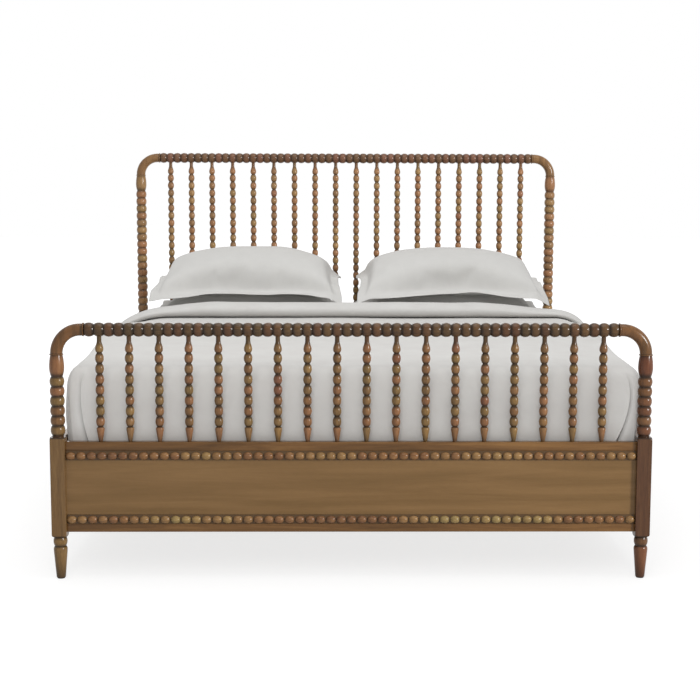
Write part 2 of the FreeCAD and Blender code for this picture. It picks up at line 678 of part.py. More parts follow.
dowels = []
for end, middle in BOARDS.items():
    rail_top, rail_bottom = f"{end}_rail_top", f"{end}_rail_top - upper_rail_height"
    axis_level, joint_level = f"{end}_rail_axis", f"{end}_post_top"
    inside = ("-post_inner_x", "post_inner_x")
    housed = ("-(post_inner_x + tenon_length)", "post_inner_x + tenon_length")
    levels = {"upper": (rail_bottom, rail_top), "lower": ("board_bottom", "lower_rail_top")}
    lip = "(panel_groove - joint_room)"
    nodes[f"{end}board_panel"] = block(
        f"{end}board_panel", (f"-(post_inner_x + {lip})", f"post_inner_x + {lip}"), panel_depth(middle),
        (f"lower_rail_top - {lip}", f"{rail_bottom} + {lip}"))

    for rail, (low, high) in levels.items():
        label = f"{end}board_{rail}_rail"
        board = block(f"{label}_board", inside, middle_span(middle, "board_rail_thickness"), (low, high))
        tenons = block(f"{label}_tenons", housed, middle_span(middle, "tenon_thickness"),
                       tenon_span(low, high))
        groove_at = (low, f"{low} + panel_groove") if rail == "upper" else (f"{high} - panel_groove", high)
        cutters = [block(f"{label}_groove", housed, panel_depth(middle), groove_at, "fit_clearance")]
        if rail == "upper":
            cutters.append(spindle_holes(f"{label}_holes", middle,
                                         f"{high} - spindle_tenon_length - joint_room"))
        nodes[label] = cut(label, fuse(f"{label}_blank", [board, tenons]), cutters)

    nodes[f"{end}board_spindles"] = spindle_row(f"{end}board_spindles", end, middle)
    rail_holes = [spindle_holes(f"{end}board_top_rail_holes", middle,
                                f"{axis_level} - rail_bead_radius - joint_room")]
    for side_name, side in SIDES.items():
        tag = f"{end}board_{side_name}"
        post_at = (f"{FACE[side]}post_x", middle, joint_level)
        rail_at = (f"{FACE[side]}top_rail_half", middle, axis_level)
        dowels.append(dowel_rod(f"{tag}_post_dowel", ALONG_Z, *post_at))
        dowels.append(dowel_rod(f"{tag}_rail_dowel", ALONG_X, *rail_at))
        room = ("fit_clearance", "joint_room")
        rail_holes.append(dowel_rod(f"{tag}_rail_hole", ALONG_X, *rail_at, *room))
        bend = elbow(f"{tag}_elbow", side, middle, f"{joint_level} + collar_width")
        nodes[f"{end}board_elbow_{side_name}"] = cut(f"{end}board_elbow_{side_name}", bend, [
            dowel_rod(f"{tag}_elbow_post_hole", ALONG_Z, *post_at, *room),
            dowel_rod(f"{tag}_elbow_rail_hole", ALONG_X, *rail_at, *room)])

        mortises = [dowel_rod(f"{tag}_post_hole", ALONG_Z, *post_at, *room)]
        inward = mirror(side, "post_inner_x", "post_inner_x + tenon_length")
        for rail, (low, high) in levels.items():
            mortises.append(block(f"{tag}_{rail}_mortise", inward, middle_span(middle, "tenon_thickness"),
                                  tenon_span(low, high), "fit_clearance"))
        groove = mirror(side, "post_inner_x", "post_inner_x + panel_groove")
        mortises.append(block(f"{tag}_panel_groove", groove, panel_depth(middle),
                              (f"lower_rail_top - {lip}", f"{rail_bottom} + {lip}"), "fit_clearance"))
        mortises.append(block(f"{tag}_plate_pocket", plate_x(side), depth_span(end, "0", "plate_thickness"),
                              PLATE_Z))
        cavity = depth_span(end, "plate_thickness", "hook_reach + hook_slack")
        mortises += receiver_slots(f"{tag}_cavity", side, cavity)
        mortises += plate_screws(f"{tag}_pilot", end, side, True, "fit_clearance")
        mortises.append(rod(f"{tag}_nail_hole", ALONG_Z, f"{FACE[side]}post_x", middle, "glide_height",
                            "glide_nail_radius + fit_clearance", "glide_nail_length"))
        label = f"{end}board_post_{side_name}"
        turning = turned_post(f"{tag}_turning", end, f"{FACE[side]}post_x", middle)
        nodes[label] = cut(label, turning, mortises)
    nodes[f"{end}board_top_rail"] = cut(f"{end}board_top_rail",
                                        beaded_rail(f"{end}board_beads", middle, axis_level), rail_holes)
nodes["elbow_dowels"] = group("elbow_dowels", dowels)


# Bead mouldings: a strip with a row of half-barrel beads, on the footboard's panel along both rails

def bead_moulding(name, bottom):
    body = new_body(name)
    strip = sketch_on(body, name + "_face", "XZ_Plane")
    outline(strip, (("0", "0"), ("2 * post_inner_x", "0"), ("2 * post_inner_x", "moulding_height"),
                    ("0", "moulding_height")))
    pad(body, name + "_strip", strip, "moulding_strip")
    level = "moulding_margin + moulding_bead_radius"
    first = "(moulding_pitch - moulding_bead_length) / 2"
    last = f"{first} + moulding_bead_length"
    belly = bulge("moulding_bead_length / 2", "moulding_bead_radius - moulding_bead_end")
    profile = sketch_on(body, name + "_bead_profile", "XZ_Plane")
    outline(profile, ((first, f"{level} + moulding_bead_end", belly), (first, level), (last, level),
                      (last, f"{level} + moulding_bead_end")))
    bead = body.newObject("PartDesign::Revolution", name + "_bead")
    bead.Profile = profile
    bead.ReferenceAxis = (profile, ["Edge3"])
    bead.Angle = 180
    body.Tip = bead
    repeat(body, name + "_beads", bead, "X_Axis", "moulding_pitch", "moulding_bead_count")
    return place(body, "-post_inner_x", "panel_front - post_y", bottom)


nodes["footboard_bead_moulding_upper"] = bead_moulding(
    "footboard_bead_moulding_upper", "foot_rail_top - upper_rail_height - moulding_height")
nodes["footboard_bead_moulding_lower"] = bead_moulding("footboard_bead_moulding_lower", "lower_rail_top")


# Side rails hooked to the posts, each with a ledger screwed along its inner face

def ledger_screws(name, side, grow="0"):
    return screw_row(name, ALONG_X * side,
                     (f"{FACE[side]}ledger_inner_x", "ledger_screw_margin - ledger_half",
                      "slat_bottom - ledger_height + ledger_screw_height"),
                     "ledger_screw_length", grow, "ledger_screw_step", "ledger_screw_count")


def slat_screws(name, side, grow="0"):
    return screw_row(name, -ALONG_Z,
                     (f"{FACE[side]}(ledger_inner_x + ledger_width / 2)",
                      "slat_end_margin + slat_width / 2 - mattress_length / 2", "deck_height"),
                     "slat_screw_length", grow, "slat_step", "slat_count")


for side_name, side in SIDES.items():
    length = ("-post_inner_y", "post_inner_y")
    board = block(f"side_rail_{side_name}_board", mirror(side, "rail_inner_x", "rail_outer_x"), length,
                  ("side_rail_bottom", "side_rail_top"))
    cutters = [ledger_screws(f"side_rail_{side_name}_pilot", side, "fit_clearance")]
    for end in BOARDS:
        tag = f"side_rail_{side_name}_{end}"
        let_in = depth_span(end, "-plate_thickness", "0")
        cutters.append(block(f"{tag}_pocket", plate_x(side), let_in, PLATE_Z))
        cutters += plate_screws(f"{tag}_pilot", end, side, False, "fit_clearance")
    nodes[f"side_rail_{side_name}"] = cut(f"side_rail_{side_name}", board, cutters)

    strip = block(f"ledger_{side_name}_strip", mirror(side, "ledger_inner_x", "rail_inner_x"),
                  ("-ledger_half", "ledger_half"), ("slat_bottom - ledger_height", "slat_bottom"))
    nodes[f"ledger_{side_name}"] = cut(f"ledger_{side_name}", strip, [
        ledger_screws(f"ledger_{side_name}_holes", side, "fit_clearance"),
        slat_screws(f"ledger_{side_name}_slat_pilots", side, "fit_clearance")])
nodes["ledger_screws"] = group("ledger_screws", [ledger_screws(f"ledger_screws_{name}", side)
                                                 for name, side in SIDES.items()])


# Slats across the ledgers, and the centre beam with its hangers, cleats, legs and levelling feet

slat_body = new_body("slat_blank")
slat_face = sketch_on(slat_body, "slat_face", "XY_Plane")
outline(slat_face, (("-slat_half", "0"), ("slat_half", "0"), ("slat_half", "slat_width"),
                    ("-slat_half", "slat_width")))
pad(slat_body, "slat", slat_face, "slat_thickness")
repeat(slat_body, "slat_row", None, "Y_Axis", "slat_step", "slat_count")
place(slat_body, "0", "slat_end_margin - mattress_length / 2", "slat_bottom")
nodes["slats"] = cut("slats", slat_body, [slat_screws(f"slat_holes_{name}", side, "fit_clearance")
                                          for name, side in SIDES.items()])
nodes["slat_screws"] = group("slat_screws", [slat_screws(f"slat_screws_{name}", side)
                                             for name, side in SIDES.items()])

CLEATS = {"foot": ("panel_back - post_y", "foot_cleat_face"),
          "head": ("head_cleat_face", "post_y + panel_front")}
for end, span in CLEATS.items():
    nodes[f"{end}board_cleat"] = block(f"{end}board_cleat", ("-post_inner_x", "post_inner_x"), span,
                                       ("cleat_top - cleat_height", "cleat_top"))

HANGERS = {"foot": ("foot_cleat_face", "foot_cleat_face + hanger_length"),
           "head": ("head_cleat_face - hanger_length", "head_cleat_face")}
hangers = []
for end, (low, high) in HANGERS.items():
    wall = {"foot": (f"{low} + hanger_wall", f"{high} + hanger_wall"),
            "head": (f"{low} - hanger_wall", f"{high} - hanger_wall")}[end]
    shell = block(f"hanger_{end}_shell", middle_span("0", "(beam_width + 2 * hanger_wall)"), (low, high),
                  ("beam_bottom - hanger_wall", "cleat_top"))
    hollow = block(f"hanger_{end}_hollow", middle_span("0", "beam_width"), wall,
                   ("beam_bottom", "deck_height"))
    hangers.append(cut(f"hanger_{end}", shell, [hollow]))
nodes["beam_hangers"] = group("beam_hangers", hangers)

SUPPORTS = {number: f"support_first + {number - 1} * support_step - post_y" for number in (1, 2, 3)}
bolts, bolt_holes, nuts = [], [], []
for number, y in SUPPORTS.items():
    bolt_from = "beam_bottom - support_bolt_length / 2"
    bolts.append(rod(f"support_bolt_{number}", ALONG_Z, "0", y, bolt_from,
                     "support_bolt_radius", "support_bolt_length"))
    hole = rod(f"support_bolt_hole_{number}", ALONG_Z, "0", y, f"{bolt_from} - joint_room",
               "support_bolt_radius + fit_clearance", "support_bolt_length + 2 * joint_room")
    bolt_holes.append(hole)
    bore = rod(f"support_bore_{number}", ALONG_Z, "0", y, "support_leg_bottom",
               "nut_radius + fit_clearance", "bore_depth")
    post = block(f"support_post_{number}", middle_span("0", "support_leg_width"),
                 middle_span(y, "support_leg_width"), ("support_leg_bottom", "beam_bottom"))
    nodes[f"support_leg_{number}"] = cut(f"support_leg_{number}", post, [hole, bore])

    foot = new_body(f"leveller_{number}")
    revolve(foot, f"leveller_{number}_turning", (
        ("0", "0"),
        ("leveller_disc_radius", "0"),
        ("leveller_disc_radius", "leveller_disc_height"),
        ("leveller_stem_radius", "leveller_disc_height"),
        ("leveller_stem_radius", "leveller_disc_height + leveller_stem_length"),
        ("0", "leveller_disc_height + leveller_stem_length"),
    ))
    nodes[f"leveller_{number}"] = place(foot, "0", y, "0")

    nut = new_body(f"leveller_nut_{number}")
    inside = "leveller_stem_radius + running_clearance"
    revolve(nut, f"leveller_nut_{number}_turning", (
        (inside, "0"),
        ("nut_flange_radius", "0"),
        ("nut_flange_radius", "nut_flange_height"),
        ("nut_radius", "nut_flange_height"),
        ("nut_radius", "nut_flange_height + nut_height"),
        (inside, "nut_flange_height + nut_height"),
    ))
    nuts.append(place(nut, "0", y, "nut_bottom"))
nodes["leveller_nuts"] = group("leveller_nuts", nuts)
nodes["support_bolts"] = group("support_bolts", bolts)
beam = block("center_beam_timber", middle_span("0", "beam_width"),
             ("foot_cleat_face + beam_end_gap", "head_cleat_face - beam_end_gap"),
             ("beam_bottom", "slat_bottom"))
nodes["center_beam"] = cut("center_beam", beam, bolt_holes)


# Glides nailed under the four posts

glides = []
for end, middle in BOARDS.items():
    for side_name, side in SIDES.items():
        glide = new_body(f"glide_{end}_{side_name}")
        revolve(glide, f"glide_{end}_{side_name}_turning", (
            ("0", "0"),
            ("glide_radius", "0"),
            ("glide_radius", "glide_height"),
            ("glide_nail_radius", "glide_height"),
            ("glide_nail_radius", "glide_height + glide_nail_length - joint_room"),
            ("0", "glide_height + glide_nail_length - joint_room"),
        ))
        glides.append(place(glide, f"{FACE[side]}post_x", middle, "0"))
nodes["leg_glides"] = group("leg_glides", glides)


# Bedding: the mattress, a comforter over it with its head end turned back, and two stacks of pillows

def mattress_form(name, grow):
    """The mattress, or the same form grown on every face as the comforter's hollow."""
    body = new_body(name)
    plan = sketch_on(body, name + "_plan", "XY_Plane")
    half_width = f"mattress_width / 2 + {grow}"
    half_length = f"mattress_length / 2 + {grow}"
    outline(plan, ((f"-({half_width})", f"-({half_length})"), (half_width, f"-({half_length})"),
                   (half_width, half_length), (f"-({half_width})", half_length)))
    core = pad(body, name + "_core", plan, f"mattress_thickness + 2 * {grow}")
    rounding = body.newObject("PartDesign::Fillet", name + "_edges")
    rounding.Base = (core, [f"Edge{index}" for index in range(1, 13)])
    bind(rounding, "Radius", f"mattress_edge + {grow}")
    body.Tip = rounding
    return place(body, "0", "0", f"deck_height - {grow}")


nodes["mattress"] = mattress_form("mattress", "0")

across_bed = new_body("cover_across")
side_view = sketch_on(across_bed, "cover_across_profile", "XZ_Plane")
width = "2 * cover_half_width"
top = "cover_height"
outline(side_view, (
    ("0", "cover_hem"),
    (width, "cover_hem"),
    (width, f"{top} - cover_corner"),
    (f"{width} - cover_corner", top, "cover_corner"),
    ("cover_corner", top),
    ("0", f"{top} - cover_corner", "cover_corner"),
))
pad(across_bed, "cover_across_length", side_view, "2 * cover_half_length")
place(across_bed, "-cover_half_width", "cover_half_length", "deck_height")

along_bed = new_body("cover_along")
end_view = sketch_on(along_bed, "cover_along_profile", "YZ_Plane")
length = "2 * cover_half_length"
low_top = "cover_foot_height"
outline(end_view, (
    ("0", "cover_hem"),
    (length, "cover_hem"),
    (length, top),
    ("cover_rise", top),
    ("cover_corner", low_top, bulge("cover_rise - cover_corner", f"{top} - {low_top}")),
    ("0", f"{low_top} - cover_corner", "cover_corner"),
))
pad(along_bed, "cover_along_width", end_view, width)
place(along_bed, "-cover_half_width", "-cover_half_length", "deck_height")

comforter = doc.addObject("Part::Common", "comforter_form")
comforter.Base = across_bed
comforter.Tool = along_bed
nodes["comforter"] = cut("comforter", comforter, [mattress_form("comforter_hollow", "soft_gap")])

fold = new_body("comforter_fold")
fold_view = sketch_on(fold, "comforter_fold_profile", "YZ_Plane")
roll = "fold_height / 2"
outline(fold_view, (
    (roll, "0", roll),
    ("fold_depth", "0"),
    ("fold_depth", "fold_back_height"),
    (roll, "fold_height", "fold_crown_radius"),
    ("0", roll, roll),
))
pad(fold, "comforter_fold_width", fold_view, width)
nodes["comforter_fold"] = place(fold, "-cover_half_width", "fold_front - cover_half_length", "cover_top + soft_gap")

# A pillow is lofted across its width: its crown swells from both ends and its long sides draw in
PILLOW_SPANS = 8
SWELL_POWER = 4


def pillow(name, side, depth, crown, bottom):
    body = new_body(name)
    sections = []
    for index in range(PILLOW_SPANS + 1):
        share = index / PILLOW_SPANS
        swell = f"{1 - (2 * share - 1) ** SWELL_POWER:.5f}"
        sketch = sketch_on(body, f"{name}_section_{index}", "YZ_Plane", f"pillow_width * {share}")
        drawn = f"pillow_draw * {swell}"
        rise = f"pillow_rim + ({crown} - pillow_rim) * {swell}"
        outline(sketch, (
            (drawn, "0"),
            (f"{depth} - {drawn}", "0"),
            (f"{depth} - {drawn}", "pillow_edge"),
            (drawn, "pillow_edge", bulge(f"{depth} / 2 - {drawn}", rise)),
        ))
        sections.append(sketch)
    loft = body.newObject("PartDesign::AdditiveLoft", name + "_loft")
    loft.Profile = sections[0]
    loft.Sections = sections[1:]
    body.Tip = loft
    start = {-1: "-(pillow_gap / 2 + pillow_width)", 1: "pillow_gap / 2"}[side]
    return place(body, start, f"pillow_back - {depth}", bottom)


for side_name, side in SIDES.items():
    for layer in ("lower", "upper"):
        label = f"pillow_{layer}_{side_name}"
        nodes[label] = pillow(label, side, f"{layer}_pillow_depth", f"{layer}_pillow_crown",
                              f"{layer}_pillow_bottom")


# Each piece is tested and written out under its own name

doc.recompute()
failed = [piece.Name for piece in doc.Objects if {"Invalid", "Error"} & set(piece.State)]
if failed:
    raise RuntimeError("these failed: " + ", ".join(failed))
os.makedirs("parts", exist_ok=True)
for label, piece in nodes.items():
    piece.Label = label
    if piece.Shape.isNull() or not piece.Shape.isValid() or not piece.Shape.Solids:
        raise RuntimeError(label + " has no valid solid")
for label, piece in nodes.items():
    piece.Shape.exportStep(f"parts/{label}.step")
print(len(nodes), "pieces,", sum(len(piece.Shape.Solids) for piece in nodes.values()), "solids")
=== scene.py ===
import bisect
import bmesh
import bpy
import math
from mathutils import Matrix, Vector, noise


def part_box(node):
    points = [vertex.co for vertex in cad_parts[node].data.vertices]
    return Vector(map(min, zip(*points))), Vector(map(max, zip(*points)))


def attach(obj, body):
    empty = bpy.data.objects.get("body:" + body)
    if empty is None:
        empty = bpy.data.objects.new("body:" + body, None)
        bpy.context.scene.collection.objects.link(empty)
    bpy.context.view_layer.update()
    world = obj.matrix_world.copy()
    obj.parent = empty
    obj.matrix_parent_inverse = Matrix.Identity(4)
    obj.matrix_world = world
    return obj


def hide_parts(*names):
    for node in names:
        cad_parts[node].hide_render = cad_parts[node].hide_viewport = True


# A spool-turned king-size bed, dressed piece by piece in the order that it is put together.
# All sizes are in metres: X across the bed, Y from footboard to headboard, Z up from the floor.
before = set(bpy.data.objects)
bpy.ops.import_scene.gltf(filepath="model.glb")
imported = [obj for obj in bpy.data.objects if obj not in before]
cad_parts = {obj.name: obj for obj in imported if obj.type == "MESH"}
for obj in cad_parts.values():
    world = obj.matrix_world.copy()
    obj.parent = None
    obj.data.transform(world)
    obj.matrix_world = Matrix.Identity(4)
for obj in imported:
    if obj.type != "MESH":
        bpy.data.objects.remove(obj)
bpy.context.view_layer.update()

# Posts. Each is turned from one length of birch: tapered leg, ring, a block that stays square,
# a string of beads and a vase. A brown stain is wiped on under lacquer. The grooves are darkened,
# partly stain that gathers there and partly painted shade.
LEG_LENGTH = 0.112
LEG_FOOT, LEG_SHOULDER, LEG_NECK = 0.0155, 0.0235, 0.019
SHOULDER_HEIGHT = 0.012
RING_HEIGHT = 0.033
BLOCK_END = 0.02275
BLOCK_TURNING = 0.011
BLOCK_EDGE = 0.0345
POST_NECK = 0.006
POST_BEAD, POST_GROOVE = 0.0245, 0.0192
VASE_LENGTH, VASE_BELLY = 0.072, 0.031
VASE_WIDEST, VASE_TOP = 0.025, 0.0205
POST_BLOCK_TOPS = {"footboard": 0.486, "headboard": 0.611}
POST_BEADS = {"footboard": 6, "headboard": 20}
POST_STEPS = 48
BEAD_POINTS = 10
POST_SEEDS = {"footboard": 22, "headboard": 19}
BLOCK_TINTS = {"footboard": 0.69, "headboard": 0.56}
TINT_DRIFT, TINT_SCATTER = 0.62, 0.3
GROOVE_DEPTH = 0.005
# Share of the groove darkening, partly stain and partly painted shade, that the tapers take.
TAPER_STAIN_AND_SHADE = 0.66
TOUCH = 1e-6
scene = bpy.context.scene


def linear(colour):
    """An sRGB hex colour as linear light, with full alpha."""
    parts = [int(colour[at:at + 2], 16) / 255 for at in (0, 2, 4)]
    return [part / 12.92 if part <= 0.04045 else ((part + 0.055) / 1.055) ** 2.4 for part in parts] + [1]


def add(tree, kind, inputs=None, stops=(), **settings):
    """Add a shader node: its properties, its sockets' values or sources, and a ramp's colours."""
    made = tree.nodes.new("ShaderNode" + kind)
    for name, setting in settings.items():
        setattr(made, name, setting)
    for socket, source in (inputs or {}).items():
        if isinstance(source, bpy.types.NodeSocket):
            tree.links.new(source, made.inputs[socket])
        else:
            made.inputs[socket].default_value = source
    for index, (place, colour) in enumerate(stops):
        ramp = made.color_ramp.elements
        stop = ramp[index] if index < 2 else ramp.new(place)
        stop.position = place
        stop.color = linear(colour)
    return made


def remap(tree, value, band, result, **settings):
    """Turn a band of values into a band of results."""
    return add(tree, "MapRange", {"Value": value, 1: band[0], 2: band[1], 3: result[0], 4: result[1]},
               **settings).outputs[0]


def blend(tree, share, under, over, **settings):
    """Mix a share of one colour into another."""
    return add(tree, "Mix", {0: share, 6: under, 7: over}, data_type="RGBA", **settings).outputs[2]


def blank_tree(owner):
    """The node tree of a material or a world, emptied."""
    owner.use_nodes = True
    owner.node_tree.nodes.clear()
    return owner.node_tree


def new_material(name, **shader):
    """A material with one principled shader, and the values that are the same all over it."""
    material = bpy.data.materials.new(name)
    tree = blank_tree(material)
    surface = add(tree, "BsdfPrincipled", shader)
    add(tree, "OutputMaterial", {"Surface": surface.outputs[0]})
    return material, tree, surface


# Stained birch: close-grained, so the stain takes in soft streaks a few millimetres wide that run
# along the grain, and each bead shows another hue of brown. Satin lacquer gives small soft lights.
STREAK_WIDTH, STREAK_LENGTH = 0.009, 0.16
FIBRE_WIDTH, FIBRE_LENGTH = 0.0016, 0.03
NOISE_BAND = (0.3, 0.7)
PORE_DARK, PORE_LIGHT = 0.2, 0.12
GROOVE_BAND = (0.08, 0.92)
# Grooves darken towards this brown, more on the footboard than the headboard: partly stain, partly painted
# shade.
GROOVE_STAIN_AND_SHADE_COLOUR = "21170d"
FOOT_STAIN_AND_SHADE, HEAD_STAIN_AND_SHADE = 0.84, 0.62
BEAD_HUES = ("784736", "86693a", "6e5d36", "8d5f42", "7c5236", "5f4c2e", "8a7042", "76463a")
RED_HUES = ("6b3c2a", "775233", "66492e", "835237", "72462f", "4a3020", "805c3b", "693c30")
PALE_HUES = ("9a6849", "a58353", "90794d", "ac7a57", "9e6f4d", "86694a", "ab8c59", "96624d")
TAWNY_HUES = ("6e4a33", "7a5540", "68503a", "84594a", "75503c", "5f4a38", "7a5a44", "6c4640")
DARK_HUES = ("4e3422", "5d4529", "4a3d24", "63432b", "573722", "44351f", "644c2c", "523020")
GRAIN_SCALE = {axis: [1 / STREAK_LENGTH if axis == place else 1 / STREAK_WIDTH for place in "XYZ"]
               for axis in "XYZ"}
FIBRE_SCALE = {axis: [1 / FIBRE_LENGTH if axis == place else 1 / FIBRE_WIDTH for place in "XYZ"]
               for axis in "XYZ"}


def stained_wood(name, grain, tones, hues=(), hue_share=0.55, rough=(0.2, 0.27), coat=0.05, figure=1,
                 stain_and_shade_depth=FOOT_STAIN_AND_SHADE):
    """Wood with grain along an axis. With hues, each bead takes its own; grooves darken, part stain, part
    painted shade.
    """
    material, tree, surface = new_material(
        name, **{"IOR": 1.5, "Specular IOR Level": 0.22, "Coat Weight": coat, "Coat Roughness": 0.15})
    place = add(tree, "TexCoord").outputs["Object"]
    scale = [share / figure for share in GRAIN_SCALE[grain]]
    along = add(tree, "Mapping", {"Vector": place, "Scale": scale}).outputs[0]
    streaks = add(tree, "TexNoise", {"Vector": along, "Scale": 1, "Detail": 5, "Roughness": 0.6,
                                     "Distortion": 0.5}).outputs[0]
    fine = add(tree, "Mapping", {"Vector": place, "Scale": FIBRE_SCALE[grain]}).outputs[0]
    fibres = add(tree, "TexNoise", {"Vector": fine, "Scale": 1, "Detail": 3}).outputs[0]
    spread = (NOISE_BAND[1] - NOISE_BAND[0]) / (len(tones) - 1)
    stops = [(NOISE_BAND[0] + spread * index, tone) for index, tone in enumerate(tones)]
    colour = add(tree, "ValToRGB", {"Fac": streaks}, stops).outputs[0]
    if hues:
        tint = add(tree, "Attribute", attribute_name="tint").outputs["Fac"]
        steps = [((index + 0.5) / len(hues), hue) for index, hue in enumerate(hues)]
        hue = add(tree, "ValToRGB", {"Fac": tint}, steps).outputs[0]
        colour = blend(tree, hue_share, colour, hue)
    pores = remap(tree, fibres, NOISE_BAND, (1 - PORE_DARK / figure, 1 + PORE_LIGHT / figure))
    colour = blend(tree, 1.0, colour, pores, blend_type="MULTIPLY")
    # The grooves are darkened towards a dark brown: partly stain gathered there, partly painted shade.
    if hues:
        groove = add(tree, "Attribute", attribute_name="groove").outputs["Fac"]
        stain_and_shade = remap(tree, groove, GROOVE_BAND, (0, stain_and_shade_depth), interpolation_type="SMOOTHSTEP")
        colour = blend(tree, stain_and_shade, colour, linear(GROOVE_STAIN_AND_SHADE_COLOUR))
    tree.links.new(colour, surface.inputs["Base Color"])
    tree.links.new(remap(tree, streaks, NOISE_BAND, rough), surface.inputs["Roughness"])
    relief = add(tree, "Bump", {"Height": fibres, "Strength": 0.12, "Distance": 0.0004}).outputs[0]
    tree.links.new(relief, surface.inputs["Normal"])
    return material


POST_WOOD = {
    "footboard_post_left": stained_wood(
        "stained_birch_post_left", "Z", ("5f3f22", "795532", "8c6840"), BEAD_HUES),
    "footboard_post_right": stained_wood(
        "stained_birch_post_right", "Z", ("402613", "563720", "68472b"), RED_HUES),
    "headboard_post_left": stained_wood(
        "stained_birch_head_post", "Z", ("6c4c30", "896544", "9f7b55"), PALE_HUES, stain_and_shade_depth=HEAD_STAIN_AND_SHADE),
}
POST_WOOD["headboard_post_right"] = POST_WOOD["headboard_post_left"]


def arc_radius(length, rise):
    """Radius of an arc that leaves its peak square and falls by rise over a length."""
    return (length ** 2 + rise ** 2) / (2 * rise)


def turned_arc(peak, peak_at, radius, start, end, points=BEAD_POINTS):
    """Outline points (radius, height) of an outward arc whose widest ring is at a height."""
    angles = [math.asin((height - peak_at) / radius) for height in (start, end)]
    swings = (angles[0] + (angles[1] - angles[0]) * index / points for index in range(points + 1))
    return [(peak - radius + radius * math.cos(swing), peak_at + radius * math.sin(swing))
            for swing in swings]


def turned_bead(start, end, bead, groove, points=BEAD_POINTS):
    """Outline of one bead between two grooves."""
    half = (end - start) / 2
    return turned_arc(bead, start + half, arc_radius(half, bead - groove), start, end, points)


def turning(outline, steps):
    """Spin an outline of (radius, height) pairs round Z into a closed form."""
    form = bmesh.new()
    points = [form.verts.new((radius, 0, height)) for radius, height in outline]
    edges = [form.edges.new(pair) for pair in zip(points, points[1:])]
    bmesh.ops.rotate(form, verts=points, matrix=Matrix.Rotation(math.radians(45), 3, "Z"))
    bmesh.ops.spin(form, geom=points + edges, axis=(0, 0, 1), cent=(0, 0, 0), angle=math.tau, steps=steps,
                   use_merge=True)
    bmesh.ops.remove_doubles(form, verts=form.verts, dist=TOUCH)
    bmesh.ops.recalc_face_normals(form, faces=form.faces)
    return form


def wander(*spot):
    """A smooth random value at a spot, the same in each run."""
    return noise.noise(Vector(spot))


def stain_and_shade_layers(form):
    """Layers for each face's tint and for how deep each point lies in a groove."""
    return form.faces.layers.float.new("tint"), form.verts.layers.float.new("groove")


def tint_beads(form, breaks, number, tapers=()):
    """Give each turned element its own tint, and note how deep each point lies in a groove."""
    tint, groove = stain_and_shade_layers(form)
    widest = {}
    for vert in form.verts:
        part = bisect.bisect(breaks, vert.co.z)
        widest[part] = max(widest.get(part, 0), math.hypot(vert.co.x, vert.co.y))
    for vert in form.verts:
        part = bisect.bisect(breaks, vert.co.z)
        # The deeper a point lies in a groove, the darker it is painted: partly stain, partly painted shade.
        depth = min((widest[part] - math.hypot(vert.co.x, vert.co.y)) / GROOVE_DEPTH, 1)
        on_taper = any(start <= vert.co.z < end for start, end in tapers)
        vert[groove] = depth * (TAPER_STAIN_AND_SHADE if on_taper else 1)
    for face in form.faces:
        part = bisect.bisect(breaks, face.calc_center_median().z)
        drift = wander(0.47 * part + 0.37, 11.9 * number + 0.61, 0.5)
        scatter = wander(7.3 * part + 0.37, 5.3 * number, 2.5)
        face[tint] = 0.5 + TINT_DRIFT * drift + TINT_SCATTER * scatter
    return form


timber = bpy.data.collections.new("timber")


def as_mesh(name, form):
    """Make a form into a mesh."""
    mesh = bpy.data.meshes.new(name)
    form.to_mesh(mesh)
    form.free()
    return mesh


def put(name, data):
    """Add an object to the scene."""
    made = bpy.data.objects.new(name, data)
    scene.collection.objects.link(made)
    return made


def settle(label, making, form, material, body="frame", sharp=35):
    """Make a form into a finished piece that rides on a body in place of a CAD node."""
    mesh = as_mesh(f"{label}_{making}", form)
    mesh.materials.append(material)
    mesh.shade_smooth()
    mesh.set_sharp_from_angle(angle=math.radians(sharp))
    piece = put(mesh.name, mesh)
    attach(piece, body)
    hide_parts(label)
    if body == "frame":
        timber.objects.link(piece)
    return piece


def post_outline(board, bottom, top):
    """The post's outline, and the heights where one turned element ends and the next begins."""
    block_low, block_top = LEG_LENGTH + RING_HEIGHT, POST_BLOCK_TOPS[board]
    shoulder = LEG_LENGTH - SHOULDER_HEIGHT
    beads_from, vase = block_top + POST_NECK, top - VASE_LENGTH
    pitch = (vase - beads_from) / POST_BEADS[board]
    fall = LEG_SHOULDER - LEG_NECK
    ease = BLOCK_EDGE - BLOCK_END
    outline = [(0, bottom), (LEG_FOOT, bottom)]
    outline += turned_arc(LEG_SHOULDER, shoulder, arc_radius(SHOULDER_HEIGHT, fall), shoulder, LEG_LENGTH)
    outline += turned_bead(LEG_LENGTH, block_low, LEG_SHOULDER, LEG_NECK)
    corner = arc_radius(BLOCK_TURNING, ease)
    square_low, square_top = block_low + BLOCK_TURNING, block_top - BLOCK_TURNING
    outline += turned_arc(BLOCK_EDGE, square_low, corner, block_low, square_low)
    outline += turned_arc(BLOCK_EDGE, square_top, corner, square_top, block_top)
    outline += [(POST_GROOVE, block_top), (POST_GROOVE, beads_from)]
    for index in range(POST_BEADS[board]):
        start = beads_from + index * pitch
        outline += turned_bead(start, start + pitch, POST_BEAD, POST_GROOVE)
    belly = vase + VASE_BELLY
    below = arc_radius(VASE_BELLY, VASE_WIDEST - POST_GROOVE)
    above = arc_radius(VASE_LENGTH - VASE_BELLY, VASE_WIDEST - VASE_TOP)
    outline += turned_arc(VASE_WIDEST, belly, below, vase, belly)
    outline += turned_arc(VASE_WIDEST, belly, above, belly, top)
    outline.append((0, top))
    breaks = [LEG_LENGTH, block_low, block_top]
    breaks += [beads_from + index * pitch for index in range(POST_BEADS[board] + 1)]
    return outline, breaks


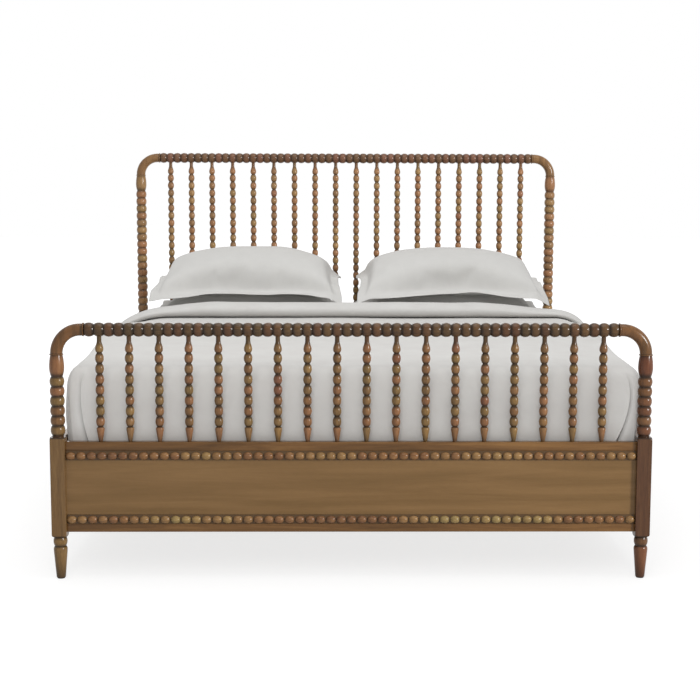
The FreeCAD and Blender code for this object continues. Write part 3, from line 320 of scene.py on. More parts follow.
for board in POST_BEADS:
    for number, side in enumerate(("left", "right"), POST_SEEDS[board]):
        label = f"{board}_post_{side}"
        low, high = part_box(label)
        half = (high.x - low.x) / 2
        outline, breaks = post_outline(board, low.z, high.z)
        # Tapers: their narrow ends darken less, partly stain and partly painted shade near the rails.
        tapers = [(low.z, LEG_LENGTH - SHOULDER_HEIGHT),
                  (high.z - VASE_LENGTH + VASE_BELLY, high.z + TOUCH)]
        post = tint_beads(turning(outline, POST_STEPS), breaks, number, tapers)
        tint = post.faces.layers.float["tint"]
        for face in post.faces:
            if breaks[1] < face.calc_center_median().z < breaks[2]:
                face[tint] = BLOCK_TINTS[board]
        for vert in post.verts:
            if breaks[1] - TOUCH < vert.co.z < breaks[2] + TOUCH:
                vert.co.x = max(-half, min(half, vert.co.x))
                vert.co.y = max(-half, min(half, vert.co.y))
        bmesh.ops.translate(post, verts=post.verts, vec=((low.x + high.x) / 2, (low.y + high.y) / 2, 0))
        settle(label, "turned", post, POST_WOOD[label])

# Top rails. A round rail turned into a string of beads from end to end, doweled into the elbows.
# The grain runs along the rail, so each bead shows it as a swirl round its middle.
RAIL_BEADS = 54
RAIL_BEAD, RAIL_GROOVE = 0.024, 0.018
RAIL_STEPS = 40
RAIL_SEED = 20
LENGTHWISE_WOOD = {
    "footboard": stained_wood("stained_birch_foot_rail", "X", ("3d2a1a", "573d26", "6b4e30"), DARK_HUES),
    "headboard": stained_wood("stained_birch_head_rail", "X", ("4c331e", "65472c", "795a3b"), TAWNY_HUES,
                              stain_and_shade_depth=HEAD_STAIN_AND_SHADE),
}
for number, board in enumerate(POST_BEADS):
    label = board + "_top_rail"
    low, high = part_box(label)
    pitch = (high.x - low.x) / RAIL_BEADS
    breaks = [low.x + index * pitch for index in range(RAIL_BEADS + 1)]
    outline = [(0, low.x)]
    for start in breaks[:-1]:
        outline += turned_bead(start, start + pitch, RAIL_BEAD, RAIL_GROOVE)
    outline.append((0, high.x))
    rail = tint_beads(turning(outline, RAIL_STEPS), breaks, RAIL_SEED + number)
    bmesh.ops.rotate(rail, verts=rail.verts, matrix=Matrix.Rotation(math.radians(90), 3, "Y"))
    bmesh.ops.translate(rail, verts=rail.verts, vec=(0, (low.y + high.y) / 2, (low.z + high.z) / 2))
    settle(label, "beads", rail, LENGTHWISE_WOOD[board])

# Elbows. A quarter bend of round section, shaped by hand, with a thin ring at the post's end and
# another at the rail's end. A dowel in each end holds it, so no fixing shows.
ELBOW_TUBE = 0.02075
ELBOW_COLLAR = 0.0235
COLLAR_WIDTH, COLLAR_FULLNESS = 0.005, 0.4
COLLAR_STEPS = 6
# Dark lines along both edges of each ring: partly stain, partly painted shade where ring and bend meet.
COLLAR_STAIN_AND_SHADE = 0.6
ELBOW_SIDES, ELBOW_STEPS = 40, 24
ELBOW_SEED = 40
ELBOW_HUE_SHARE = 0.2
ELBOW_WOOD = {
    "footboard": stained_wood("stained_birch_foot_elbow", "Z", ("402817", "5a3923", "744c2f"), BEAD_HUES,
                              ELBOW_HUE_SHARE, figure=2),
    "headboard": stained_wood("stained_birch_head_elbow", "Z", ("5f4029", "7a5638", "8f6b47"), PALE_HUES,
                              ELBOW_HUE_SHARE, figure=2),
}


def draw_out(form, loop, move, scale):
    """Extrude a loop of edges, then move it and scale it about its own middle."""
    made = bmesh.ops.extrude_edge_only(form, edges=loop)["geom"]
    points = [item for item in made if isinstance(item, bmesh.types.BMVert)]
    middle = sum((point.co for point in points), Vector()) / len(points) + Vector(move)
    bmesh.ops.translate(form, verts=points, vec=move)
    bmesh.ops.scale(form, verts=points, vec=(scale, scale, scale), space=Matrix.Translation(-middle))
    return [item for item in made if isinstance(item, bmesh.types.BMEdge)
            and all(point in points for point in item.verts)]


def draw_collar(form, loop, direction):
    """Draw a loop out through a full round ring, back to the elbow's own size."""
    radius = ELBOW_TUBE
    for index in range(COLLAR_STEPS + 1):
        swell = math.sin(math.pi * index / COLLAR_STEPS) ** COLLAR_FULLNESS
        wanted = ELBOW_TUBE + (ELBOW_COLLAR - ELBOW_TUBE) * swell
        step = COLLAR_WIDTH / COLLAR_STEPS if index else 0
        loop = draw_out(form, loop, Vector(direction) * step, wanted / radius)
        radius = wanted
    return loop


for number, board in enumerate(POST_BEADS):
    for side, way in (("left", 1), ("right", -1)):
        label = f"{board}_elbow_{side}"
        low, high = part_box(label)
        rail_low, rail_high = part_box(board + "_top_rail")
        post_low, post_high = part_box(f"{board}_post_{side}")
        post_x = (post_low.x + post_high.x) / 2
        axis_z = (rail_low.z + rail_high.z) / 2
        bend = axis_z - post_high.z - COLLAR_WIDTH
        rail_end = rail_low.x if way > 0 else rail_high.x
        elbow = bmesh.new()
        bmesh.ops.create_circle(elbow, segments=ELBOW_SIDES, radius=ELBOW_TUBE, cap_ends=True,
                                matrix=Matrix.Translation((post_x, (low.y + high.y) / 2, post_high.z)))
        loop = draw_collar(elbow, list(elbow.edges), (0, 0, 1))
        turn = bmesh.ops.spin(elbow, geom=loop, axis=(0, way, 0), angle=math.radians(90), steps=ELBOW_STEPS,
                              cent=(post_x + way * bend, (low.y + high.y) / 2, post_high.z + COLLAR_WIDTH))
        loop = [item for item in turn["geom_last"] if isinstance(item, bmesh.types.BMEdge)]
        stub = abs(rail_end - post_x) - bend - COLLAR_WIDTH
        loop = draw_out(elbow, loop, (way * stub, 0, 0), 1)
        loop = draw_collar(elbow, loop, (way, 0, 0))
        bmesh.ops.contextual_create(elbow, geom=loop)
        bmesh.ops.remove_doubles(elbow, verts=elbow.verts, dist=TOUCH)
        bmesh.ops.recalc_face_normals(elbow, faces=elbow.faces)
        tint_beads(elbow, [], ELBOW_SEED + number)
        groove = elbow.verts.layers.float["groove"]
        edges = [("z", post_high.z), ("z", post_high.z + COLLAR_WIDTH),
                 ("x", rail_end), ("x", rail_end - way * COLLAR_WIDTH)]
        # Points at a ring's edges are darkened: partly stain, partly painted shade.
        for vert in elbow.verts:
            by_ring = any(abs(getattr(vert.co, axis) - edge) < 10 * TOUCH for axis, edge in edges)
            vert[groove] = COLLAR_STAIN_AND_SHADE if by_ring else 0
        settle(label, "bent", elbow, ELBOW_WOOD[board])

# Spindles. Eighteen to a board: a tapered foot, beads and a drop, turned from one stick, with round
# tenons glued into the upper rail and the top rail.
SPINDLE_TENON, SPINDLE_TENON_LENGTH = 0.005, 0.016
SPINDLE_CONE_LENGTH = 0.05
SPINDLE_TIP, SPINDLE_CONE = 0.0065, 0.0136
SPINDLE_SHOULDER = 0.008
SPINDLE_BEAD, SPINDLE_GROOVE = 0.0147, 0.0083
DROP_LENGTH, DROP_BELLY = 0.054, 0.013
DROP_WIDEST, DROP_NECK = 0.0139, 0.0078
NECK_LENGTH, NECK_LET_IN = 0.013, 0.0015
SPINDLES = 18
SPINDLE_BEADS = {"footboard": 7, "headboard": 21}
SPINDLE_STEPS, SPINDLE_POINTS = 20, 8
SPINDLE_SEED = 60
SPINDLE_WOOD = {
    "footboard": stained_wood("stained_birch_foot_spindle", "Z", ("5e4227", "7d5b38", "957047"), BEAD_HUES),
    "headboard": stained_wood("stained_birch_head_spindle", "Z", ("6e4e31", "8b6844", "a07d56"), PALE_HUES,
                              stain_and_shade_depth=HEAD_STAIN_AND_SHADE),
}


def spindle_outline(board, bottom, top):
    """A spindle's outline, and the heights where its turned elements meet."""
    seat, crown = bottom + SPINDLE_TENON_LENGTH, top - SPINDLE_TENON_LENGTH
    waist, drop = seat + SPINDLE_CONE_LENGTH, crown - DROP_LENGTH
    pitch = (drop - waist) / SPINDLE_BEADS[board]
    outline = [(0, bottom), (SPINDLE_TENON, bottom), (SPINDLE_TENON, seat), (SPINDLE_TIP, seat)]
    shoulder = waist - SPINDLE_SHOULDER
    round_over = arc_radius(SPINDLE_SHOULDER, SPINDLE_CONE - SPINDLE_GROOVE)
    outline += turned_arc(SPINDLE_CONE, shoulder, round_over, shoulder, waist, SPINDLE_POINTS)
    breaks = [waist + index * pitch for index in range(SPINDLE_BEADS[board] + 1)]
    for start in breaks[:-1]:
        outline += turned_bead(start, start + pitch, SPINDLE_BEAD, SPINDLE_GROOVE, SPINDLE_POINTS)
    belly = drop + DROP_BELLY
    swell = arc_radius(DROP_BELLY, DROP_WIDEST - SPINDLE_GROOVE)
    outline += turned_arc(DROP_WIDEST, belly, swell, drop, belly)
    flare = (crown - NECK_LENGTH - belly) / SPINDLE_POINTS
    for index in range(1, SPINDLE_POINTS + 1):
        slim = 0.5 + 0.5 * math.cos(math.pi * index / SPINDLE_POINTS)
        outline.append((DROP_NECK + (DROP_WIDEST - DROP_NECK) * slim, belly + index * flare))
    let_in = crown + NECK_LET_IN
    outline += [(DROP_NECK, let_in), (SPINDLE_TENON, let_in), (SPINDLE_TENON, top), (0, top)]
    return outline, breaks


def take_in(whole, form):
    """Add a finished form to the piece that it is part of."""
    part = as_mesh("part", form)
    whole.from_mesh(part)
    bpy.data.meshes.remove(part)


for board in SPINDLE_BEADS:
    label = board + "_spindles"
    low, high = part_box(label)
    rail_low, rail_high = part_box(board + "_top_rail")
    pitch = (rail_high.x - rail_low.x) / SPINDLES
    outline, breaks = spindle_outline(board, low.z, high.z)
    # Tapers: their narrow ends darken less, partly stain and partly painted shade near the rails.
    tapers = [(low.z, breaks[0] - SPINDLE_SHOULDER), (breaks[-1] + DROP_BELLY, high.z + TOUCH)]
    row = bmesh.new()
    for index in range(SPINDLES):
        spindle = tint_beads(turning(outline, SPINDLE_STEPS), breaks, SPINDLE_SEED + index, tapers)
        bmesh.ops.translate(spindle, verts=spindle.verts,
                            vec=(rail_low.x + (index + 0.5) * pitch, (low.y + high.y) / 2, 0))
        take_in(row, spindle)
    settle(label, "turned", row, SPINDLE_WOOD[board])

# Rails of the boards and side rails. Planed boards with eased edges: the boards' rails are tenoned
# into the posts, and the side rails hang on steel hooks. Same stain and lacquer as the posts.
BOARD_EASE, EASE_STEPS = 0.002, 3
RAIL_WOOD = stained_wood("stained_birch_rail", "X", ("503619", "694927", "805d35"), figure=2.5)
SIDE_WOOD = stained_wood("stained_birch_side_rail", "Y", ("523920", "67482a", "785735"), figure=2.5)


def round_edges(form, edges, radius, steps):
    """Round some edges of a form."""
    bmesh.ops.bevel(form, geom=edges, offset=radius, offset_type="OFFSET", segments=steps, profile=0.5,
                    affect="EDGES", material=-1)


def planed_board(low, high, ease):
    """A board between two corners with its edges eased."""
    board = bmesh.new()
    bmesh.ops.create_cube(board, size=1)
    bmesh.ops.scale(board, verts=board.verts, vec=high - low)
    bmesh.ops.translate(board, verts=board.verts, vec=(low + high) / 2)
    round_edges(board, board.edges[:], ease, EASE_STEPS)
    return board


PLANED_BOARDS = {
    "footboard_upper_rail": RAIL_WOOD,
    "footboard_lower_rail": RAIL_WOOD,
    "headboard_upper_rail": RAIL_WOOD,
    "headboard_lower_rail": RAIL_WOOD,
    "side_rail_left": SIDE_WOOD,
    "side_rail_right": SIDE_WOOD,
}
for label, wood in PLANED_BOARDS.items():
    settle(label, "board", planed_board(*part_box(label), BOARD_EASE), wood)

# Panels. A flat board of birch veneer with its grain along the bed's width, let into grooves in the
# rails and posts. It is a little lighter and greyer than the solid wood.
PANEL_WOOD = stained_wood("stained_birch_panel", "X", ("6b502c", "755834", "7f613c"), figure=4)


def finish_node(label, material):
    """Give a CAD piece whose shape is right its own material."""
    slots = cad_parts[label].data.materials
    slots.clear()
    slots.append(material)


for board in POST_BEADS:
    finish_node(board + "_panel", PANEL_WOOD)
    timber.objects.link(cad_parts[board + "_panel"])

# Bead mouldings. A thin strip carries a row of half-barrel beads, and is glued to the footboard's
# panel along its upper and lower rails. The strip and the beads' ends are darkened, partly stain that
# stays between the beads and partly painted shade of the recesses.
MOULDING_BEADS = 55
MOULDING_BEAD, MOULDING_BEAD_END = 0.0135, 0.0076
MOULDING_BEAD_LENGTH, MOULDING_BEAD_EASE = 0.032, 0.0015
MOULDING_STRIP, MOULDING_STRIP_EASE = 0.003, 0.0008
MOULDING_MARGIN = 0.001
MOULDING_STEPS = 18
# How dark the strip is, and where along each bead its ends begin to darken: partly stain, partly painted
# shade.
MOULDING_STAIN_AND_SHADE, MOULDING_STAIN_AND_SHADE_FROM = 0.7, 0.7
MOULDING_STRIP_TINT = 0.4
MOULDING_DRIFT, MOULDING_SCATTER = 0.7, 0.25
MOULDING_HUES = ("69432c", "835b36", "774e33", "96764a", "85633e", "9f8653", "978855", "84673d")
MOULDING_WOOD = stained_wood("stained_birch_moulding", "X", ("5a3f25", "7b5936", "98764b"), MOULDING_HUES)
for number, place in enumerate(("lower", "upper")):
    label = "footboard_bead_moulding_" + place
    low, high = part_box(label)
    strip = planed_board(Vector((low.x, high.y - MOULDING_STRIP, low.z)), high, MOULDING_STRIP_EASE)
    tint, groove = stain_and_shade_layers(strip)
    for face in strip.faces:
        face[tint] = MOULDING_STRIP_TINT
    # The whole strip is darkened: partly stain, partly painted shade of the recess between the beads.
    for vert in strip.verts:
        vert[groove] = MOULDING_STAIN_AND_SHADE
    pitch = (high.x - low.x) / MOULDING_BEADS
    for index in range(MOULDING_BEADS):
        middle = low.x + (index + 0.5) * pitch
        start, end = middle - MOULDING_BEAD_LENGTH / 2, middle + MOULDING_BEAD_LENGTH / 2
        bead = bmesh.new()
        outline = turned_bead(start + MOULDING_BEAD_EASE, end - MOULDING_BEAD_EASE, MOULDING_BEAD,
                              MOULDING_BEAD_END)
        inner = MOULDING_BEAD_END - MOULDING_BEAD_EASE
        outline = [(0, start), (inner, start)] + outline + [(inner, end), (0, end)]
        points = [bead.verts.new((height, 0, radius)) for radius, height in outline]
        edges = [bead.edges.new(pair) for pair in zip(points, points[1:])]
        bmesh.ops.spin(bead, geom=points + edges, axis=(1, 0, 0), cent=(0, 0, 0), angle=math.pi,
                       steps=MOULDING_STEPS)
        bmesh.ops.remove_doubles(bead, verts=bead.verts, dist=TOUCH)
        bmesh.ops.holes_fill(bead, edges=bead.edges)
        bmesh.ops.recalc_face_normals(bead, faces=bead.faces)
        tint, groove = stain_and_shade_layers(bead)
        for face in bead.faces:
            drift = wander(0.13 * index + 0.37, 90.1 + 11.9 * number, 0.5)
            scatter = wander(7.3 * index, 3.1 + number, 0.5)
            face[tint] = 0.5 + MOULDING_DRIFT * drift + MOULDING_SCATTER * scatter
        # Each bead darkens towards its ends: partly stain, partly painted shade between the beads.
        for vert in bead.verts:
            outward = abs(vert.co.x - middle) / (MOULDING_BEAD_LENGTH / 2)
            near_end = max(0, (outward - MOULDING_STAIN_AND_SHADE_FROM) / (1 - MOULDING_STAIN_AND_SHADE_FROM))
            vert[groove] = near_end * MOULDING_STAIN_AND_SHADE
        bmesh.ops.translate(bead, verts=bead.verts,
                            vec=(0, high.y, low.z + MOULDING_MARGIN + MOULDING_BEAD))
        take_in(strip, bead)
    settle(label, "beads", strip, MOULDING_WOOD)

# Slats, ledgers, cleats, centre beam, support legs and dowels. Planed pine with no finish, pale and
# matt, screwed together under the mattress; the grain runs along each stick.
PINE_TONES = ("b98f57", "cfab74", "dcc08e")
PINE_ROUGH = (0.52, 0.68)
PINE = {axis: stained_wood(f"planed_pine_along_{axis.lower()}", axis, PINE_TONES, rough=PINE_ROUGH, coat=0)
        for axis in "XYZ"}
PINE_PIECES = {
    "X": ["slats", "footboard_cleat", "headboard_cleat"],
    "Y": ["ledger_left", "ledger_right", "center_beam"],
    "Z": ["support_leg_1", "support_leg_2", "support_leg_3", "elbow_dowels"],
}
for axis, labels in PINE_PIECES.items():
    for label in labels:
        finish_node(label, PINE[axis])

# Steel fittings. Hangers, hooks, plates, screws, bolts, nuts and levelling feet, pressed or turned
# from steel and zinc plated, which leaves a soft grey shine with faint blotches.
ZINC_BLOTCH = 0.004


def mottled(name, grain, detail, band, rough, relief, shader):
    """A material whose gloss and surface vary a little, in grains of a size."""
    material, tree, surface = new_material(name, **shader)
    place = add(tree, "TexCoord").outputs["Object"]
    grains = add(tree, "TexNoise", {"Vector": place, "Scale": 1 / grain, "Detail": detail}).outputs[0]
    tree.links.new(remap(tree, grains, band, rough), surface.inputs["Roughness"])
    bump = add(tree, "Bump", {"Height": grains, "Strength": relief, "Distance": 0.0002}).outputs[0]
    tree.links.new(bump, surface.inputs["Normal"])
    return material


ZINC = mottled("zinc_plated_steel", ZINC_BLOTCH, detail=4, band=(0.35, 0.65), rough=(0.3, 0.48), relief=0.1,
               shader={"Metallic": 1.0, "Base Color": linear("c3c6c8")})
STEEL_PIECES = ["beam_hangers", "rail_hook_plates", "post_receiver_plates", "fastener_screws",
                "ledger_screws", "slat_screws", "support_bolts", "leveller_nuts", "leveller_1",
                "leveller_2", "leveller_3"]
for label in STEEL_PIECES:
    finish_node(label, ZINC)

# Glides. A round pad of moulded nylon is nailed under each leg, so that the bed slides and marks no
# floor. The nylon is dark brown, dull and slightly grained from its mould.
GLIDE_GRAIN = 0.0012
NYLON = mottled("moulded_nylon", GLIDE_GRAIN, detail=2, band=NOISE_BAND, rough=(0.45, 0.6), relief=0.15,
                shader={"Base Color": linear("2c231b"), "IOR": 1.53})
finish_node("leg_glides", NYLON)

# Mattress. A sprung core in quilted ticking: a soft panel above and below, a border round the sides
# and a piped seam where they meet. It lies loose on the slats. The ticking is a matt cotton with
# faint stripes, drawn in by the quilting. A wave texture of scale 1 repeats every WAVE_LENGTH.
MATTRESS_CORNER = 0.09
MATTRESS_CROWN, MATTRESS_FOOT = 0.09, 0.024
MATTRESS_EASE = 0.0055
CORNER_STEPS = 8
PIPING = 0.004
TICKING_STRIPE = 0.022
QUILTING = 0.09
WAVE_LENGTH = 0.314
ticking, tree, surface = new_material("cotton_ticking", **{"Roughness": 0.85, "Specular IOR Level": 0.3})
place = add(tree, "TexCoord").outputs["Object"]
stripes = add(tree, "TexWave", {"Vector": place, "Scale": WAVE_LENGTH / TICKING_STRIPE}, wave_type="BANDS",
              bands_direction="X").outputs[0]
shade = add(tree, "ValToRGB", {"Fac": stripes}, [(0.2, "d3cfc6"), (0.8, "e2dfd8")]).outputs[0]
tree.links.new(shade, surface.inputs["Base Color"])
stitches = add(tree, "TexVoronoi", {"Vector": place, "Scale": 1 / QUILTING}, feature="SMOOTH_F1").outputs[0]
relief = add(tree, "Bump", {"Height": stitches, "Strength": 0.5, "Distance": 0.004}).outputs[0]
tree.links.new(relief, surface.inputs["Normal"])
low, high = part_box("mattress")
pad = bmesh.new()
bmesh.ops.create_cube(pad, size=1)
bmesh.ops.scale(pad, verts=pad.verts, vec=high - low - Vector((2 * MATTRESS_EASE, 2 * MATTRESS_EASE, 0)))
bmesh.ops.translate(pad, verts=pad.verts, vec=(low + high) / 2)
uprights = [edge for edge in pad.edges if abs(edge.verts[0].co.z - edge.verts[1].co.z) > TOUCH]
round_edges(pad, uprights, MATTRESS_CORNER, CORNER_STEPS)
for level, ease in ((high.z, MATTRESS_CROWN), (low.z, MATTRESS_FOOT)):
    rims = [edge for edge in pad.edges if all(abs(vert.co.z - level) < TOUCH for vert in edge.verts)]
    round_edges(pad, rims, ease, CORNER_STEPS)
for level in (low.z + MATTRESS_FOOT, high.z - MATTRESS_CROWN):
    seam = bpy.data.curves.new("piping", "CURVE")
    seam.dimensions = "3D"
    seam.bevel_depth = PIPING
    seam.bevel_resolution = 2
    line = seam.splines.new("POLY")
    corner_points = []
    for turn, (way_x, way_y) in enumerate(((1, 1), (-1, 1), (-1, -1), (1, -1))):
        middle = Vector((way_x * (high.x - MATTRESS_EASE - MATTRESS_CORNER),
                         way_y * (high.y - MATTRESS_EASE - MATTRESS_CORNER), level))
        for step in range(CORNER_STEPS + 1):
            angle = math.pi / 2 * (turn + step / CORNER_STEPS)
            corner_points.append(middle + MATTRESS_CORNER * Vector((math.cos(angle), math.sin(angle), 0)))
    line.points.add(len(corner_points) - 1)
    for point, corner in zip(line.points, corner_points):
        point.co = (*corner, 1)
    line.use_cyclic_u = True
    cord = put("piping", seam)
    tube = bpy.data.meshes.new_from_object(cord.evaluated_get(bpy.context.evaluated_depsgraph_get()))
    pad.from_mesh(tube)
    bpy.data.objects.remove(cord)
    bpy.data.curves.remove(seam)
    bpy.data.meshes.remove(tube)
mattress = settle("mattress", "pad", pad, ticking, "mattress", sharp=60)

# Comforter. A cotton cover filled with down, drawn over the mattress and tucked in on all sides, with
# its corners at the foot folded in flat. It is thicker towards the head, and its edges are round.
COMFORTER_CELL = 0.0117
COMFORTER_THICKNESS = 0.009
HEM_CLEAR = 0.0005
FOOT_TOP, RISE_BEFORE, RISE_LENGTH = 0.7055, 0.3, 1.32
SIDE_REACH = {-1: 0.975, 1: 0.995}
SPREAD, SPREAD_FROM, SPREAD_TO = 0.04, -0.68, 0.1
SIDE_ROUND, SIDE_FALL = 0.04, {-1: 0.07, 1: 0.05}
FOLD_ROUND, FOLD_FALL = {-1: 0.2, 1: 0.08}, {-1: 0.05, 1: 0.035}
PRESSED_FROM, PRESSED_TO = 0.1, 0.38
END_REACH, END_ROUND, END_FALL = 1.0255, 0.11, 0.13
EDGE_SHARE = 0.32
COMFORTER_DROP = 0.34
SIDE_BULGE, END_BULGE, BULGE_PACE = 0.006, 0.002, 1.15
TUCK_X, TUCK_FROM, TUCK_TO = 0.976, 0.25, 0.84
PLEATS = {-1: (0.64, 0.9135, 0.85), 1: (0.645, 0.943, 1.5)}
PLEAT_STEP, PLEAT_VALLEY = 0.004, 0.018
PLEAT_DRAW, PLEAT_EASE, PLEAT_CREASE = 0.9, 0.03, 0.005
PLEAT_SPAN, PLEAT_INSET, PLEAT_BEYOND = 0.09, 0.01, 0.8
PLEAT_FADE_FROM, PLEAT_FADE_TO = 0.672, 0.704
FACE_FROM, FACE_HELD, FACE_FULL = 0.3, 0.8, 0.9
FACE_STILL = 0.65
RIPPLES = ((0.0022, 2.9, 0), (0.0011, 7.7, 3.1))
CRUMPLE, CRUMPLE_PACE = 0.0004, 23
HANG_RIPPLE, HANG_PACE = 0.0008, Vector((6, 6, 1.5))
THREAD = 0.0016
SLUB = 0.111


def smooth(value, start, end):
    """A soft step from 0 to 1 between two values."""
    share = max(0, min(1, (value - start) / (end - start)))
    return share * share * (3 - 2 * share)


# Percale cotton: a plain weave, matt with a faint bloom. Its threads are 0.3 mm apart, too fine to
# show, so they are drawn at 1.6 mm.
def woven_cotton(name, colour, shaded):
    """Cotton in a plain weave that drifts between two colours."""
    material, tree, surface = new_material(
        name, **{"Roughness": 0.88, "Specular IOR Level": 0.25, "Sheen Weight": 0.12,
                 "Sheen Roughness": 0.5})
    cloth = add(tree, "TexCoord").outputs["UV"]
    threads = [add(tree, "TexWave", {"Vector": cloth, "Scale": WAVE_LENGTH / THREAD, "Distortion": 0.4,
                                     "Detail": 1}, wave_type="BANDS", bands_direction=axis).outputs[1]
               for axis in "XY"]
    weave = add(tree, "Math", {0: threads[0], 1: threads[1]}, operation="MULTIPLY").outputs[0]
    slubs = add(tree, "TexNoise", {"Vector": cloth, "Scale": 1 / SLUB, "Detail": 4,
                                   "Roughness": 0.6}).outputs[0]
    tone = add(tree, "ValToRGB", {"Fac": slubs}, zip(NOISE_BAND, (shaded, colour))).outputs[0]
    tree.links.new(tone, surface.inputs["Base Color"])
    relief = add(tree, "Bump", {"Height": weave, "Strength": 0.12, "Distance": 0.0003}).outputs[0]
    tree.links.new(relief, surface.inputs["Normal"])
    return material


COMFORTER_COTTON = woven_cotton("percale_cotton_comforter", "d5d4d1", "cfcdca")
low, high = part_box("comforter")
low_hem, high_top = low.z + HEM_CLEAR, high.z
span_x = 2 * (high.x - SIDE_ROUND + COMFORTER_DROP)
span_y = 2 * (END_REACH - END_ROUND + COMFORTER_DROP)


def tucked(across, along):
    """Where a point of the flat comforter lies, the way its outer side faces, and how far down it is."""
    side = 1 if across > 0 else -1
    flat_y = END_REACH - END_ROUND
    inner = Vector((0, max(-flat_y, min(flat_y, along)), 0))
    rise = smooth(inner.y, -flat_y - RISE_BEFORE, RISE_LENGTH - flat_y)
    inner.z = FOOT_TOP + (high_top - FOOT_TOP) * rise
    reach = SIDE_REACH[side] + SPREAD * smooth(inner.y, SPREAD_FROM, SPREAD_TO)
    pressed = smooth(inner.y, PRESSED_FROM, PRESSED_TO)
    side_round = SIDE_ROUND + FOLD_ROUND[side] * pressed
    side_fall = SIDE_FALL[side] + FOLD_FALL[side] * pressed
    flat_x = reach - side_round
    inner.x = max(-flat_x, min(flat_x, across))
    over = Vector((across, along, 0)) - Vector((inner.x, inner.y, 0))
    if over.length < TOUCH:
        return inner, Vector((0, 0, 1)), 0.0
    way = over.normalized()
    run = max(abs(over.x) / (span_x / 2 - flat_x), abs(over.y) / (span_y / 2 - flat_y))
    bend = min(run / EDGE_SHARE, 1) * math.pi / 2
    share = max(0, run - EDGE_SHARE) / (1 - EDGE_SHARE)
    fall = side_fall * way.x ** 2 + END_FALL * way.y ** 2
    belly = math.sin(math.pi * min(share * BULGE_PACE, 1))
    tuck = max(0, reach - TUCK_X) * smooth(share, TUCK_FROM, TUCK_TO)
    out = Vector((way.x * (side_round * math.sin(bend) + SIDE_BULGE * belly - tuck),
                  way.y * (END_ROUND * math.sin(bend) + END_BULGE * belly), 0))
    out.z = -fall * (1 - math.cos(bend)) - share * (inner.z - fall - low_hem)
    return inner + out, way * math.sin(bend) + Vector((0, 0, math.cos(bend))), share


def flat_cloth(width, depth, cell):
    """A flat cloth about the middle, divided into cells, with its own UV map in metres."""
    cloth = bmesh.new()
    bmesh.ops.create_grid(cloth, x_segments=round(width / cell), y_segments=round(depth / cell), size=0.5)
    bmesh.ops.scale(cloth, verts=cloth.verts, vec=(width, depth, 1))
    uv_map = cloth.loops.layers.uv.new("cloth")
    for face in cloth.faces:
        for corner in face.loops:
            corner[uv_map].uv = corner.vert.co.xy
    return cloth


cover = flat_cloth(span_x, span_y, COMFORTER_CELL)
column_step = span_x / round(span_x / COMFORTER_CELL)
for vert in cover.verts:
    across = vert.co.x
    place, facing, share = tucked(vert.co.x, vert.co.y)
    still = 1 - FACE_STILL * smooth(-facing.y, FACE_FROM, FACE_FULL)
    ripple = still * sum(height * noise.noise(place * pace + Vector((shift, 0, 0)))
                         for height, pace, shift in RIPPLES)
    ripple += CRUMPLE * noise.noise(place * CRUMPLE_PACE)
    if share > 0:
        ripple += HANG_RIPPLE * share * noise.noise(place * HANG_PACE) * still
    # The tuck's crease: the cells beside it are drawn to its line, one side up and the other down.
    if facing.y < -FACE_FROM and abs(across) > PLEAT_BEYOND:
        side = 1 if across > 0 else -1
        level, widest, curve = PLEATS[side]
        line = widest - curve * (place.z - level) ** 2
        seam = round((widest - PLEAT_INSET + span_x / 2) / column_step) * column_step - span_x / 2
        off = abs(across) - seam
        hold = (1 - smooth(abs(off), 0, PLEAT_SPAN)) * smooth(-facing.y, FACE_FROM, FACE_HELD)
        drawn = PLEAT_DRAW * column_step * math.exp(-max(0, abs(off) - column_step) / PLEAT_EASE)
        near = math.copysign(max(0, abs(off) - drawn), off)
        place.x = side * ((1 - hold) * abs(place.x) + hold * (line + near))
        hold *= 1 - smooth(place.z, PLEAT_FADE_FROM, PLEAT_FADE_TO)
        if off < 0.5 * column_step:
            ripple += hold * PLEAT_STEP * math.exp(min(0, off) / PLEAT_EASE)
        else:
            ripple -= hold * PLEAT_VALLEY * math.exp(-near / PLEAT_CREASE)
    vert.co = place + facing * ripple
comforter = settle("comforter", "cover", cover, COMFORTER_COTTON, "mattress", sharp=180)
wall = comforter.modifiers.new("wall", "SOLIDIFY")
wall.thickness = COMFORTER_THICKNESS
wall.offset = -1

# Turned-back fold. The comforter's head end is folded back on itself in front of the pillows, as a
# soft roll across the bed whose ends bend down over the sides.
FOLD_ENDS = (-1.06, 1.13)
FOLD_STATIONS, FOLD_POINTS = 132, 32
FOLD_THIN, THIN_FROM, THIN_TO = 0.03, 0.55, 0.95
FOLD_CAP, CAP_DEPTH, CAP_HEIGHT = 0.05, 0.7, 0.35
FOLD_LUMPS, FOLD_SETTLED = 0.005, 0.004
FOLD_UNEVEN, FOLD_SHIFT = 0.06, 0.006
FOLD_SLUMP, SLUMP_FROM = 0.22, -0.2
FOLD_WRINKLE, FOLD_CLEAR = 0.0012, 0.0008
FOLD_RADIUS = 0.07
low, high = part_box("comforter_fold")
fold_depth, fold_height = high.y - low.y, high.z - low.z
fold_y = (low.y + high.y) / 2
roll = bmesh.new()
bmesh.ops.create_circle(roll, segments=FOLD_POINTS, radius=1, cap_ends=True)
bmesh.ops.rotate(roll, verts=roll.verts, matrix=Matrix.Rotation(math.radians(90), 3, "Y"))
bmesh.ops.translate(roll, verts=roll.verts, vec=(FOLD_ENDS[0], 0, 0))
edges = roll.edges[:]
step = (FOLD_ENDS[1] - FOLD_ENDS[0]) / FOLD_STATIONS
for station in range(FOLD_STATIONS):
    edges = draw_out(roll, edges, (step, 0, 0), 1)
bmesh.ops.contextual_create(roll, geom=edges)
bmesh.ops.recalc_face_normals(roll, faces=roll.faces)
cloth = roll.loops.layers.uv.new("cloth")
for face in roll.faces:
    for corner in face.loops:
        spot = corner.vert.co
        corner[cloth].uv = (spot.x, FOLD_RADIUS * math.atan2(spot.z, spot.y))
